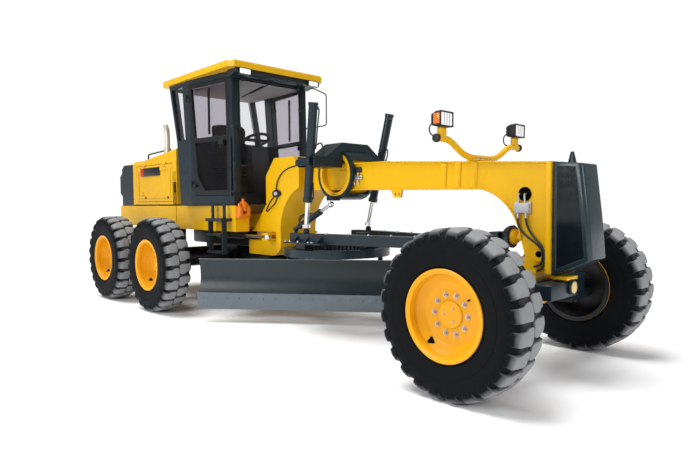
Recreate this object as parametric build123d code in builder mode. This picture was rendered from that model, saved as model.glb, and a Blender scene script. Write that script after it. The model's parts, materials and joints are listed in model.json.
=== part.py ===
"""Motor grader: articulated frame, tandem drive, leaning front wheels, drawbar, circle and blade.

Millimetres. +X forward, +Y to the driver's left, +Z up, ground at z = 0.
The origin lies on the ground under the middle of the overall length.
"""
from build123d import *
from math import cos, pi, radians, sin
import os

os.makedirs("parts", exist_ok=True)

# ---------------------------------------------------------------- running gear
tyre_radius = 635.0
tyre_width = 360.0
tyre_bead_radius = 316.0
track_half = 1050.0
front_axle_x = 3380.0
wheelbase = 5720.0
tandem_spacing = 1540.0
rim_flange_radius = 343.0
rim_barrel_radius = 315.7
rim_wall = 14.0
hub_radius = 120.0
hub_face = 30.0
spindle_radius = 60.0
axle_gap = 0.3

tandem_x = front_axle_x - wheelbase
mid_axle_x = tandem_x + tandem_spacing / 2
rear_axle_x = tandem_x - tandem_spacing / 2
wheel_z = tyre_radius

# ---------------------------------------------------------------- frames
articulation_x = -340.0
nose_z_low, nose_z_high = 1130.0, 1330.0
nose_radius = 150.0
pin_radius = 50.0
pin_clearance = 1.0
running_gap = 6.0
rail_y_in, rail_y_out = 300.0, 400.0
rail_z_low, rail_z_high = 1100.0, 1400.0
rear_frame_end = -3940.0
side_box_y_out = 600.0
end_plate = 80.0
hitch_x, hitch_bore = -3972.0, 16.0
hitch_low_z, hitch_high_z, hitch_ear = 1120.0, 1220.0, 25.0
plate_hole_y, plate_hole_z, plate_hole = 480.0, 200.0, 11.0

beam_half = 140.0
head_front_x, head_top_z = 3660.0, 1780.0
beam_rear_top_x, beam_rear_top_z = 1810.0, 1885.0
beam_low_z, beam_high_z = 1575.0, 1905.0
leg_half = 280.0
cylinder_z = 1040.0
cylinder_eye = 44.0
lug_thickness = 24.0
saddle_x, saddle_z = 1090.0, 1780.0
ring_radius = 250.0
ring_half = 190.0

tow_x, tow_z, tow_bore = 3545.0, 1020.0, 28.0
lug_x, lug_hole_z, lug_hole, lug_hole_pitch = 1990.0, 1540.0, 12.0, 50.0

# ---------------------------------------------------------------- cab
cab_front_x = -350.0
cab_floor_z = 1440.0
cab_top_z = 3115.0
cab_wall = 50.0
cab_front_half, cab_rear_half = 590.0, 700.0
roof_thickness = 85.0
roof_half = 745.0
door_gap = 6.0
glass_thickness = 8.0

# ---------------------------------------------------------------- hood
hood_front_x, hood_rear_x = -1880.0, -3400.0
hood_half = 600.0
hood_low_z, hood_top_z = 1450.0, 2150.0
hood_wall = 25.0
guard_rear_x = -4015.0

# ---------------------------------------------------------------- drawbar, circle and blade
ball_x, ball_z = 3230.0, 1150.0
ball_radius = 70.0
circle_x = 913.0
circle_radius = 620.0
circle_low_z, circle_high_z = 850.0, 940.0
blade_angle = 37.5
guide_gap = 0.5
blade_length = 3660.0
blade_height = 610.0
blade_low_z = 165.0
blade_offset = 50.0
blade_shift = -70.0

# ---------------------------------------------------------------- lift cylinders
lift_eye = (949.0, 489.0, 1199.0)
lift_top = (1213.0, 592.0, 2513.0)
lift_trunnion_t = 0.533
lift_barrel_t = 0.205
lift_barrel_radius, lift_rod_radius = 48.0, 25.0

# ---------------------------------------------------------------- centre-shift cylinder
shift_top = (1085.0, -240.0, 1440.0)
shift_eye = (610.0, -370.0, 1155.0)
shift_ball_radius = 34.0


def beam_top(x):
    """Height of the beam's sloping top at a distance x."""
    return head_top_z + (beam_rear_top_z - head_top_z) * (head_front_x - x) / (head_front_x - beam_rear_top_x)


def save(piece, label):
    """Name a finished piece and write it."""
    piece.part.label = label
    export_step(piece.part, f"parts/{label}.step")


# ================================================================ wheels
lugs_round, bead_flats = 16, 8
tread_floor = 602.0
lug_root, lug_half_angle, root_spread = 580.0, 6.8, 1.15
lug_side_in, lug_side_flat, lug_side_out = 5.0, 135.0, 167.0
shoulder_drop, lug_inside = 25.0, 500.0
sidewall_rings = (
    # distance from the tyre's middle plane, distance of the flats from the axle
    (158.0, 352.0), (180.0, 470.0), (170.0, tread_floor))


def across_plane(x, y, distance):
    """The plane across a wheel's axle at a distance from the tyre's middle plane."""
    return Plane(origin=(x, y + distance, wheel_z), x_dir=(1, 0, 0), z_dir=(0, 1, 0))


def lug_ring(x, y, side, turn):
    """One side's lugs as a toothed ring, its shoulder cut back in one flat for each lug."""
    teeth = []
    # the lowest corner of the two staggered rings stands on the ground
    lug_tip = tyre_radius / cos(pi / lugs_round - radians(lug_half_angle))
    for lug in range(lugs_round):
        middle = 360.0 / lugs_round * lug + turn
        for step, radius in ((-root_spread, lug_root), (-1, lug_tip), (1, lug_tip), (root_spread, lug_root)):
            around = radians(middle + step * lug_half_angle)
            teeth.append((radius * cos(around), radius * sin(around)))
    with BuildPart() as ring:
        with BuildSketch(across_plane(x, y, side * lug_side_in)):
            with BuildLine():
                Polyline(*teeth, close=True)
            make_face()
            RegularPolygon(lug_inside, lugs_round, major_radius=False, mode=Mode.SUBTRACT)
        extrude(amount=side * (lug_side_out - lug_side_in))
        with BuildPart(mode=Mode.PRIVATE) as shoulder:
            for distance, radius in ((0, tyre_radius), (lug_side_flat, tyre_radius),
                                     (lug_side_out, tyre_radius - shoulder_drop)):
                with BuildSketch(across_plane(x, y, side * distance)):
                    RegularPolygon(radius, lugs_round, major_radius=False, rotation=turn + 180.0 / lugs_round)
            loft(ruled=True)
        add(shoulder.part, mode=Mode.INTERSECT)
    return ring.part


def make_tyre(x, y, label):
    """One tyre in flat facets: tapered sidewalls from bead to tread, and two staggered rings of lugs."""
    with BuildPart() as tyre:
        for distance, radius in ([(-d, r) for d, r in sidewall_rings] + list(reversed(sidewall_rings))):
            with BuildSketch(across_plane(x, y, distance)):
                RegularPolygon(radius, lugs_round, major_radius=False)
        loft(ruled=True)
        add(lug_ring(x, y, 1, 0))
        add(lug_ring(x, y, -1, 180.0 / lugs_round))
        with BuildSketch(across_plane(x, y, -tyre_width)):
            RegularPolygon(tyre_bead_radius, bead_flats, major_radius=False)
        extrude(amount=2 * tyre_width, mode=Mode.SUBTRACT)
    save(tyre, label)


def make_rim(x, y, label):
    """One steel rim with its flanges, barrel, dished disc and hub, open towards the machine."""
    out = 1 if y > 0 else -1
    half = tyre_width / 2 - 22
    disc = 40
    with BuildPart() as rim:
        with BuildSketch(Plane(origin=(x, y, wheel_z), x_dir=(0, out, 0), z_dir=(out, 0, 0))):
            with BuildLine():
                Polyline(
                    (-half - 14, rim_flange_radius), (-half - 1, rim_flange_radius),
                    (-half - 1, rim_barrel_radius), (half + 1, rim_barrel_radius),
                    (half + 1, rim_flange_radius), (half + 14, rim_flange_radius),
                    (half + 14, rim_barrel_radius - rim_wall), (disc + 70, rim_barrel_radius - rim_wall - 10),
                    (disc + 20, 230), (disc + 20, hub_radius), (disc + 60, hub_radius - 10), (disc + 60, 0),
                    (hub_face, 0), (hub_face, hub_radius), (disc, hub_radius), (disc, 220),
                    (disc + 30, rim_barrel_radius - rim_wall), (-half - 14, rim_barrel_radius - rim_wall),
                    close=True)
            make_face()
        revolve(axis=Axis((x, y, wheel_z), (0, 1, 0)))
    save(rim, label)


wheels = (("front", front_axle_x), ("middle", mid_axle_x), ("rear", rear_axle_x))
sides = (("left", 1), ("right", -1))
for place, wheel_x in wheels:
    for side, sign in sides:
        make_tyre(wheel_x, sign * track_half, f"tyre_{place}_{side}")
        make_rim(wheel_x, sign * track_half, f"rim_{place}_{side}")

# ================================================================ tandem cases
case_y_in, case_y_out = 650.0, 840.0
case_radius = 170.0
for side, sign in sides:
    with BuildPart() as tandem_case:
        with BuildSketch(Plane.XZ.offset(-sign * (case_y_in + case_y_out) / 2)):
            with Locations((tandem_x, wheel_z)):
                SlotCenterToCenter(tandem_spacing, 2 * case_radius)
        extrude(amount=(case_y_out - case_y_in) / 2, both=True)
        spindle_end = track_half + hub_face - axle_gap
        for axle_x in (mid_axle_x, rear_axle_x):
            with BuildSketch(Plane.XZ.offset(-sign * (case_y_out - 10))):
                with Locations((axle_x, wheel_z)):
                    Circle(spindle_radius)
            extrude(amount=-sign * (spindle_end - case_y_out + 10))
    save(tandem_case, f"tandem_case_{side}")

# ================================================================ rear frame
housing_radius = 150.0
lug_offset = (cylinder_eye + lug_thickness) / 2 + axle_gap
with BuildPart() as rear_frame:
    # two side rails and the cross box that carries the nose
    for sign in (1, -1):
        with BuildSketch(Plane.XZ.offset(-sign * (rail_y_in + rail_y_out) / 2)):
            with BuildLine():
                Polyline((rear_frame_end, rail_z_low), (-700, rail_z_low), (-700, rail_z_high),
                         (rear_frame_end, rail_z_high), close=True)
            make_face()
        extrude(amount=(rail_y_out - rail_y_in) / 2, both=True)
    with Locations((-820, 0, (rail_z_low + rail_z_high) / 2)):
        Box(240, 2 * rail_y_out, rail_z_high - rail_z_low)
    with Locations((rear_frame_end + end_plate / 2, 0, (rail_z_low + rail_z_high) / 2)):
        Box(end_plate, 2 * rail_y_in, rail_z_high - rail_z_low)
    # nose with a round end about the articulation pin
    with BuildSketch(Plane.XY.offset(nose_z_low + running_gap)):
        with BuildLine():
            Line((-710, nose_radius), (articulation_x, nose_radius))
            ThreePointArc((articulation_x, nose_radius), (articulation_x + nose_radius, 0),
                          (articulation_x, -nose_radius))
            Line((articulation_x, -nose_radius), (-710, -nose_radius))
            Line((-710, -nose_radius), (-710, nose_radius))
        make_face()
        with Locations((articulation_x, 0)):
            Circle(pin_radius + pin_clearance, mode=Mode.SUBTRACT)
    extrude(amount=nose_z_high - nose_z_low - 2 * running_gap)
    # rear axle housing, hung from the rails
    with BuildSketch(Plane.XZ):
        with Locations((tandem_x, wheel_z)):
            Circle(housing_radius)
    extrude(amount=case_y_in - axle_gap, both=True)
    for sign in (1, -1):
        with Locations((tandem_x, sign * (rail_y_in + rail_y_out) / 2, (wheel_z + rail_z_low) / 2)):
            Box(260, rail_y_out - rail_y_in, rail_z_low - wheel_z)
    # side boxes: tank to the left, batteries to the right
    for sign in (1, -1):
        with Locations((-1110, sign * (rail_y_out + side_box_y_out) / 2, 1265)):
            Box(1580, side_box_y_out - rail_y_out, 330)
    # cab mounts and rear side plates
    for mount_x in (-760, -1500):
        with Locations((mount_x, 0, (rail_z_high + cab_floor_z - axle_gap) / 2)):
            Box(80, 2 * rail_y_out, cab_floor_z - axle_gap - rail_z_high)
    for sign in (1, -1):
        with Locations((-2930, sign * (rail_y_out + side_box_y_out) / 2, 1270)):
            Box(2020, side_box_y_out - rail_y_out, 320)
    # brackets for the articulation cylinders
    for sign in (1, -1):
        for lug_z in (cylinder_z - lug_offset, cylinder_z + lug_offset):
            with Locations((-1150, sign * 430, lug_z)):
                Box(140, 120, lug_thickness)
        with Locations((-1225, sign * 430, (cylinder_z + rail_z_low) / 2 - 20)):
            Box(20, 120, rail_z_low - cylinder_z + 60)
    # rear hitch: two ears with one upright pin hole, and four bolt holes for an attachment
    for ear_z in (hitch_low_z + hitch_ear / 2, hitch_high_z - hitch_ear / 2):
        with Locations(((rear_frame_end + 10 + hitch_x - 32) / 2, 0, ear_z)):
            Box(rear_frame_end + 10 - hitch_x + 32, 120, hitch_ear)
    with BuildSketch(Plane.XY.offset(hitch_low_z - 1)):
        with Locations((hitch_x, 0)):
            Circle(hitch_bore)
    extrude(amount=hitch_high_z - hitch_low_z + 2, mode=Mode.SUBTRACT)
    with BuildSketch(Plane(origin=(rear_frame_end - 1, 0, (rail_z_low + rail_z_high) / 2), x_dir=(0, 1, 0),
                           z_dir=(1, 0, 0))):
        with GridLocations(plate_hole_y, plate_hole_z, 2, 2):
            Circle(plate_hole)
    extrude(amount=end_plate + 2, mode=Mode.SUBTRACT)
save(rear_frame, "rear_frame")

# ================================================================ engine block (one plain mass)
with BuildPart() as engine_block:
    with Locations((-2600, 0, 1640)):
        Box(1200, 520, 470)
    for mount_x in (-2150, -3050):
        with Locations((mount_x, 0, 1200 + 101)):
            Box(90, 2 * rail_y_in - 2 * axle_gap, 210)
save(engine_block, "engine_block")

# ================================================================ hood
slot_pitch, slot_width, slot_height = 34.0, 18.0, 320.0
spine_rise = 25.0
with BuildPart() as hood_shell:
    with Locations(((hood_front_x + hood_rear_x) / 2, 0, (hood_low_z + hood_top_z) / 2)):
        Box(hood_front_x - hood_rear_x, 2 * hood_half, hood_top_z - hood_low_z)
    fillet(hood_shell.edges().filter_by(Axis.X).group_by(Axis.Z)[-1], 60)
    with Locations(((hood_front_x + hood_rear_x) / 2, 0, (hood_low_z + hood_top_z) / 2 - hood_wall)):
        Box(hood_front_x - hood_rear_x - 2 * hood_wall, 2 * (hood_half - hood_wall),
            hood_top_z - hood_low_z, mode=Mode.SUBTRACT)
    door_x1, door_x2 = hood_front_x - 130, hood_rear_x + 130
    door_z1, door_z2 = hood_low_z + 40, hood_top_z - 90
    with Locations(((door_x1 + door_x2) / 2, 0, (door_z1 + door_z2) / 2)):
        Box(door_x1 - door_x2, 2 * hood_half + 2, door_z2 - door_z1, mode=Mode.SUBTRACT)
    hood_hinges = (door_x1 - 250, door_x2 + 310)
    hood_hinge_y, hood_hinge_z = hood_half + 11, door_z2 + 2
    for sign in (1, -1):
        for knuckle_x in hood_hinges:
            with BuildSketch(Plane(origin=(knuckle_x, sign * hood_hinge_y, hood_hinge_z),
                                   x_dir=(0, 1, 0), z_dir=(1, 0, 0))):
                Circle(9)
            extrude(amount=60)
            with Locations((knuckle_x + 30, sign * (hood_half + 3), hood_hinge_z + 16)):
                Box(56, 10, 30)
    # upright air slots in the front posts
    with Locations(Plane(origin=(hood_front_x - 72, 0, (door_z1 + door_z2) / 2), x_dir=(1, 0, 0), z_dir=(0, 1, 0))):
        with GridLocations(slot_pitch, 1, 3, 1):
            Box(slot_width, slot_height, 3 * hood_half, mode=Mode.SUBTRACT)
    # raised spine along the top
    with BuildSketch(Plane.XY.offset(hood_top_z - 5)):
        with Locations(((hood_front_x + hood_rear_x) / 2, 0)):
            RectangleRounded(hood_front_x - hood_rear_x - 160, 620, 60)
    extrude(amount=spine_rise + 5, taper=12)
    # open to the radiator behind
    with Locations((hood_rear_x, 0, (hood_low_z + hood_top_z) / 2 - 40)):
        Box(4 * hood_wall, 2 * hood_half - 160, hood_top_z - hood_low_z - 160, mode=Mode.SUBTRACT)
save(hood_shell, "hood_shell")
for side, sign in sides:
    with BuildPart() as hood_door:
        for knuckle_x in hood_hinges:
            with BuildSketch(Plane(origin=(knuckle_x - axle_gap, sign * hood_hinge_y, hood_hinge_z),
                                   x_dir=(0, 1, 0), z_dir=(-1, 0, 0))):
                Circle(9)
            extrude(amount=60)
            with Locations((knuckle_x - 30, sign * (hood_half + 3), hood_hinge_z - 22)):
                Box(56, 8, 40)
        with Locations(((door_x1 + door_x2) / 2, sign * (hood_half - hood_wall / 2), (door_z1 + door_z2) / 2)):
            Box(door_x1 - door_x2 - 2 * door_gap, hood_wall, door_z2 - door_z1 - 2 * door_gap)
        # pressed frame and latch
        with Locations(((door_x1 + door_x2) / 2, sign * (hood_half + 2), (door_z1 + door_z2) / 2)):
            Box(door_x1 - door_x2 - 120, 10, door_z2 - door_z1 - 120)
            Box(door_x1 - door_x2 - 180, 12, door_z2 - door_z1 - 180, mode=Mode.SUBTRACT)
        with Locations(((door_x1 + door_x2) / 2 - 420, sign * (hood_half - 1), door_z1 + 130)):
            Box(90, 22, 60)
    save(hood_door, f"hood_door_{side}")

# ================================================================ radiator guard
guard_front_x = hood_rear_x - axle_gap
guard_half, guard_low_z, guard_top_z = 570.0, 1430.3, 2110.0
guard_wall, guard_step_x, guard_crown_x = 30.0, guard_rear_x + 85, guard_rear_x + 175
slat_pitch, slat_gap, slat_length, slat_y = 56.0, 32.0, 440.0, 260.0
with BuildPart() as radiator_guard:
    with BuildSketch(Plane.XZ) as guard_side:
        with BuildLine():
            Polyline((guard_front_x, guard_low_z), (guard_front_x, guard_top_z), (guard_crown_x, guard_top_z),
                     (guard_step_x, guard_top_z - 60), (guard_step_x, 1980), (guard_rear_x, 1930),
                     (guard_rear_x, 1640), (guard_step_x, 1590), (guard_step_x, guard_low_z), close=True)
        make_face()
    extrude(amount=guard_half, both=True)
    with BuildSketch(Plane.XZ):
        add(guard_side.sketch)
        offset(amount=-guard_wall, mode=Mode.REPLACE)
        with Locations((guard_front_x - guard_wall, (guard_low_z + guard_top_z) / 2)):
            Rectangle(3 * guard_wall, guard_top_z - guard_low_z - 2 * guard_wall)
    extrude(amount=guard_half - guard_wall, both=True, mode=Mode.SUBTRACT)
    # slots between the rear slats
    with Locations(Plane(origin=(guard_rear_x, 0, 1785), x_dir=(0, 1, 0), z_dir=(1, 0, 0))):
        with GridLocations(2 * slat_y, slat_pitch, 2, 5):
            Box(slat_length, slat_gap, 3 * guard_wall, mode=Mode.SUBTRACT)
save(radiator_guard, "radiator_guard")

# ================================================================ exhaust
exhaust_x, exhaust_y, exhaust_base_z = -2350.0, -150.0, hood_top_z + spine_rise + axle_gap
with BuildPart() as exhaust_stack:
    with BuildSketch(Plane.XY.offset(exhaust_base_z)):
        with Locations((exhaust_x, exhaust_y)):
            Circle(45)
            Circle(40, mode=Mode.SUBTRACT)
    extrude(amount=470)
    with BuildSketch(Plane.XY.offset(exhaust_base_z)):
        with Locations((exhaust_x, exhaust_y)):
            Circle(75)
    extrude(amount=12)
    # the muffler's fatter jacket at the foot
    with BuildSketch(Plane.XY.offset(exhaust_base_z + 12)):
        with Locations((exhaust_x, exhaust_y)):
            Circle(62)
            Circle(44, mode=Mode.SUBTRACT)
    extrude(amount=160)
save(exhaust_stack, "exhaust_stack")

# ================================================================ cab
door_low_z, door_top_z = cab_floor_z + 120, cab_top_z - 65
waist_z = cab_floor_z + 0.531 * (cab_top_z - cab_floor_z)
cab_side = ((cab_front_x, cab_floor_z), (cab_front_x - 30, cab_top_z), (-1840, cab_top_z), (-1640, waist_z),
            (-1560, cab_floor_z))


def cab_solid(inset):
    """The cab's outer form, drawn in by inset on every wall: a side outline cut by the plan outline."""
    with BuildPart() as form:
        with BuildSketch(Plane.XZ):
            with BuildLine():
                Polyline(*cab_side, close=True)
            make_face()
            if inset:
                offset(amount=-inset)
        extrude(amount=900, both=True)
        with BuildSketch(Plane.XY.offset(cab_floor_z - 100)):
            with BuildLine():
                Polyline((cab_front_x, cab_front_half), (-1250, cab_rear_half), (-2000, cab_rear_half),
                         (-2000, -cab_rear_half), (-1250, -cab_rear_half), (cab_front_x, -cab_front_half),
                         close=True)
            make_face()
            if inset:
                offset(amount=-inset, kind=Kind.INTERSECTION)
        extrude(amount=cab_top_z - cab_floor_z + 200, mode=Mode.INTERSECT)
    return form.part


def cab_layer(outer, inner):
    """The layer of the cab's walls between two depths below the outer face."""
    with BuildPart() as layer:
        add(cab_solid(outer))
        add(cab_solid(inner), mode=Mode.SUBTRACT)
    return layer.part


def side_prism(points, sign, inset=0.0):
    """A prism through one side wall (sign 1 left, -1 right, 0 both), from an outline in x and z."""
    with BuildPart() as prism:
        with BuildSketch(Plane.XZ.offset(-sign * 700)):
            with BuildLine():
                Polyline(*points, close=True)
            make_face()
            if inset:
                offset(amount=-inset, kind=Kind.INTERSECTION)
        extrude(amount=300 if sign else 1000, both=True)
    return prism.part


def front_prism(points, x, reach, inset=0.0):
    """A prism through the front or rear wall, from an outline in y and z."""
    with BuildPart() as prism:
        with BuildSketch(Plane(origin=(x, 0, 0), x_dir=(0, 1, 0), z_dir=(1, 0, 0))):
            with BuildLine():
                Polyline(*points, close=True)
            make_face()
            if inset:
                offset(amount=-inset, kind=Kind.INTERSECTION)
        extrude(amount=reach, both=True)
    return prism.part


door_outline = ((cab_front_x - 70, door_low_z), (cab_front_x - 95, door_top_z), (-1300, door_top_z),
                (-1150, door_low_z))
door_upper = ((cab_front_x - 140, waist_z), (cab_front_x - 150, door_top_z - 60), (-1225, door_top_z - 60),
              (-1160, waist_z))
door_lower = ((cab_front_x - 135, door_low_z + 70), (cab_front_x - 140, waist_z - 60), (-1155, waist_z - 60),
              (-1110, door_low_z + 270), (-960, door_low_z + 70))
quarter_outline = ((-1390, waist_z), (-1455, door_top_z), (-1770, door_top_z), (-1600, waist_z))
windshield_outline = ((-500, door_low_z), (-500, door_top_z), (500, door_top_z), (500, door_low_z))
rear_window_outline = ((-600, waist_z + 30), (-600, door_top_z - 10), (600, door_top_z - 10), (600, waist_z + 30))

hinge_y = 720.0
hinge_radius = 14.0


def hinge_x(z):
    """The door hinge line leans back with the rear pillar."""
    return -1196.0 - 146.0 * (z - door_low_z) / (door_top_z - door_low_z)


def hinge_plane(z, sign):
    """A plane across the hinge line at a height."""
    return Plane(origin=(hinge_x(z), sign * hinge_y, z), x_dir=(0, 1, 0), z_dir=(hinge_x(1) - hinge_x(0), 0, 1))


hinge_heights = (door_low_z + 160, door_top_z - 170)
visor_x, visor_half, work_lamp_y = -172.0, 640.0, 540.0
grab_x, grab_radius = cab_front_x - 40, 13.0
grab_low_z, grab_top_z = cab_floor_z + 110, cab_floor_z + 860
mirror_tube, mirror_bend = 8.0, 40.0
mirror_points = ((cab_front_x - 50, 575, cab_top_z - 60), (-250, 640, cab_top_z - 75), (-235, 850, cab_top_z - 130),
                 (-235, 850, cab_top_z - 560), (-250, 640, cab_top_z - 610), (cab_front_x - 50, 575, cab_top_z - 620))
with BuildPart() as cab_frame:
    add(cab_layer(0, cab_wall))
    for sign in (1, -1):
        for knuckle_z in hinge_heights:
            with BuildSketch(hinge_plane(knuckle_z, sign)):
                Circle(hinge_radius)
            extrude(amount=45)
            with Locations((hinge_x(knuckle_z) - 25, sign * (hinge_y - 18), knuckle_z + 22)):
                Box(50, 24, 40)
    # visor under the roof's front edge, with two work lamps
    with BuildSketch(Plane.XZ):
        with BuildLine():
            Polyline((cab_front_x - 40, cab_top_z - 95), (visor_x, cab_top_z - 45), (visor_x, cab_top_z),
                     (cab_front_x - 40, cab_top_z), close=True)
        make_face()
    extrude(amount=visor_half, both=True)
    with Locations((visor_x + 8, work_lamp_y, cab_top_z - 42), (visor_x + 8, -work_lamp_y, cab_top_z - 42)):
        Box(40, 170, 76)
    # grab rails before the doors
    for sign in (1, -1):
        rail_y = sign * (cab_front_half + 22)
        with BuildSketch(Plane.XY.offset(grab_low_z)):
            with Locations((grab_x, rail_y)):
                Circle(grab_radius)
        extrude(amount=grab_top_z - grab_low_z)
        for foot_z in (grab_low_z + 30, grab_top_z - 30):
            with BuildSketch(Plane.XZ.offset(-rail_y)):
                with Locations((grab_x, foot_z)):
                    Circle(grab_radius - 1)
            extrude(amount=sign * 60)
    # mirror loop on the driver's left
    with BuildPart(mode=Mode.PRIVATE) as mirror_loop:
        with BuildLine(mode=Mode.PRIVATE) as mirror_path:
            FilletPolyline(*mirror_points, radius=mirror_bend)
        with BuildSketch(Plane(origin=mirror_path.line @ 0, z_dir=mirror_path.line % 0)):
            Circle(mirror_tube)
        sweep(path=mirror_path.line)
    add(mirror_loop.part)
    add(side_prism(door_outline, 0), mode=Mode.SUBTRACT)
    add(side_prism(quarter_outline, 0), mode=Mode.SUBTRACT)
    add(front_prism(windshield_outline, cab_front_x, 100), mode=Mode.SUBTRACT)
    add(front_prism(rear_window_outline, -1740, 160), mode=Mode.SUBTRACT)
save(cab_frame, "cab_frame")

for side, sign in sides:
    with BuildPart() as cab_door:
        add(cab_layer(0, cab_wall - 10))
        add(side_prism(door_outline, sign, door_gap), mode=Mode.INTERSECT)
        add(side_prism(door_upper, sign), mode=Mode.SUBTRACT)
        add(side_prism(door_lower, sign), mode=Mode.SUBTRACT)
        for knuckle_z in hinge_heights:
            with BuildSketch(hinge_plane(knuckle_z - axle_gap, sign)):
                Circle(hinge_radius)
            extrude(amount=-45)
            with Locations((hinge_x(knuckle_z) + 50, sign * (hinge_y - 8), knuckle_z - 23)):
                Box(100, 12, 36)
            with Locations((hinge_x(knuckle_z) + 82, sign * (hinge_y - 26), knuckle_z - 23)):
                Box(36, 40, 36)
    save(cab_door, f"cab_door_{side}")
    with BuildPart() as door_glass:
        add(cab_layer(20, 20 + glass_thickness))
        panes = side_prism(door_upper, sign, axle_gap) + side_prism(door_lower, sign, axle_gap)
        add(panes, mode=Mode.INTERSECT)
    save(door_glass, f"door_glass_{side}")

with BuildPart() as cab_glass:
    add(cab_layer(20, 20 + glass_thickness))
    panes = front_prism(windshield_outline, cab_front_x, 100, axle_gap)
    panes += front_prism(rear_window_outline, -1740, 160, axle_gap)
    panes += side_prism(quarter_outline, 0, axle_gap)
    add(panes, mode=Mode.INTERSECT)
save(cab_glass, "cab_glass")

with BuildPart() as cab_roof:
    with BuildSketch(Plane.XY.offset(cab_top_z + axle_gap)):
        with BuildLine():
            Polyline((-148, 690), (-220, roof_half), (-1940, roof_half), (-2000, 690), (-2000, -690),
                     (-1940, -roof_half), (-220, -roof_half), (-148, -690), close=True)
        make_face()
    extrude(amount=roof_thickness)
    chamfer(cab_roof.faces().sort_by(Axis.Z)[-1].edges(), 20)
save(cab_roof, "cab_roof")

seat_x, seat_half = -1230.0, 250.0
column_x, wheel_rim, wheel_tube = -700.0, 190.0, 14.0
with BuildPart() as cab_interior:
    floor_z = cab_floor_z + cab_wall + axle_gap
    with Locations((seat_x - 20, 0, floor_z + 190)):
        Box(330, 420, 380)
    # cushion and backrest with rolled edges
    with BuildSketch(Plane.XZ):
        with Locations((seat_x, floor_z + 440)):
            RectangleRounded(480, 130, 50)
    extrude(amount=seat_half, both=True)
    with BuildSketch(Plane(origin=(seat_x - 210, 0, floor_z + 780), x_dir=(0, 1, 0), z_dir=(1, 0, -0.12))):
        RectangleRounded(2 * seat_half - 20, 640, 90)
    extrude(amount=50, both=True)
    for sign in (1, -1):
        with Locations((seat_x, sign * (seat_half + 30), floor_z + 560)):
            Box(330, 70, 170)
    # console, steering column and wheel
    with BuildSketch(Plane.XZ):
        with BuildLine():
            Polyline((column_x - 90, floor_z), (column_x + 110, floor_z), (column_x + 60, floor_z + 720),
                     (column_x - 40, floor_z + 760), close=True)
        make_face()
    extrude(amount=130, both=True)
    wheel_plane = Plane(origin=(column_x - 30, 0, floor_z + 830), x_dir=(0, 1, 0), z_dir=(-0.45, 0, 1))
    with BuildSketch(wheel_plane.offset(-150)):
        Circle(30)
    extrude(amount=150)
    with BuildSketch(wheel_plane.offset(-wheel_tube)):
        Circle(wheel_rim)
        Circle(wheel_rim - 2 * wheel_tube, mode=Mode.SUBTRACT)
        Rectangle(2 * (wheel_rim - wheel_tube), 36)
    extrude(amount=2 * wheel_tube)
    with Locations((seat_x + 330, 0, floor_z + 20)):
        Box(700, 300, 40)
save(cab_interior, "cab_seat_and_console")

# ================================================================ steps
step_y = 700.0
stile_width, stile_depth = 30.0, 60.0
step_x_rear, step_x_front = -760.0, -430.0
step_low_z, step_top_z = 810.0, 1270.0
rung_heights = (840.0, 1060.0)
platform_z = 1250.0
with BuildPart() as steps:
    step_mid_x = (step_x_rear + step_x_front) / 2
    for sign in (1, -1):
        for stile_x in (step_x_rear, step_x_front):
            with Locations((stile_x, sign * step_y, (step_low_z + step_top_z) / 2)):
                Box(stile_width, stile_depth, step_top_z - step_low_z)
        for rung_z in rung_heights:
            with Locations((step_mid_x, sign * step_y, rung_z)):
                Box(step_x_front - step_x_rear, 2 * stile_depth, 25)
        # the platform reaches in to the tank's side
        platform_y = (side_box_y_out + axle_gap + step_y + stile_depth) / 2
        with Locations((step_mid_x, sign * platform_y, platform_z)):
            Box(step_x_front - step_x_rear + 60, step_y + stile_depth - side_box_y_out - axle_gap, 40)
save(steps, "cab_steps")

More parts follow.
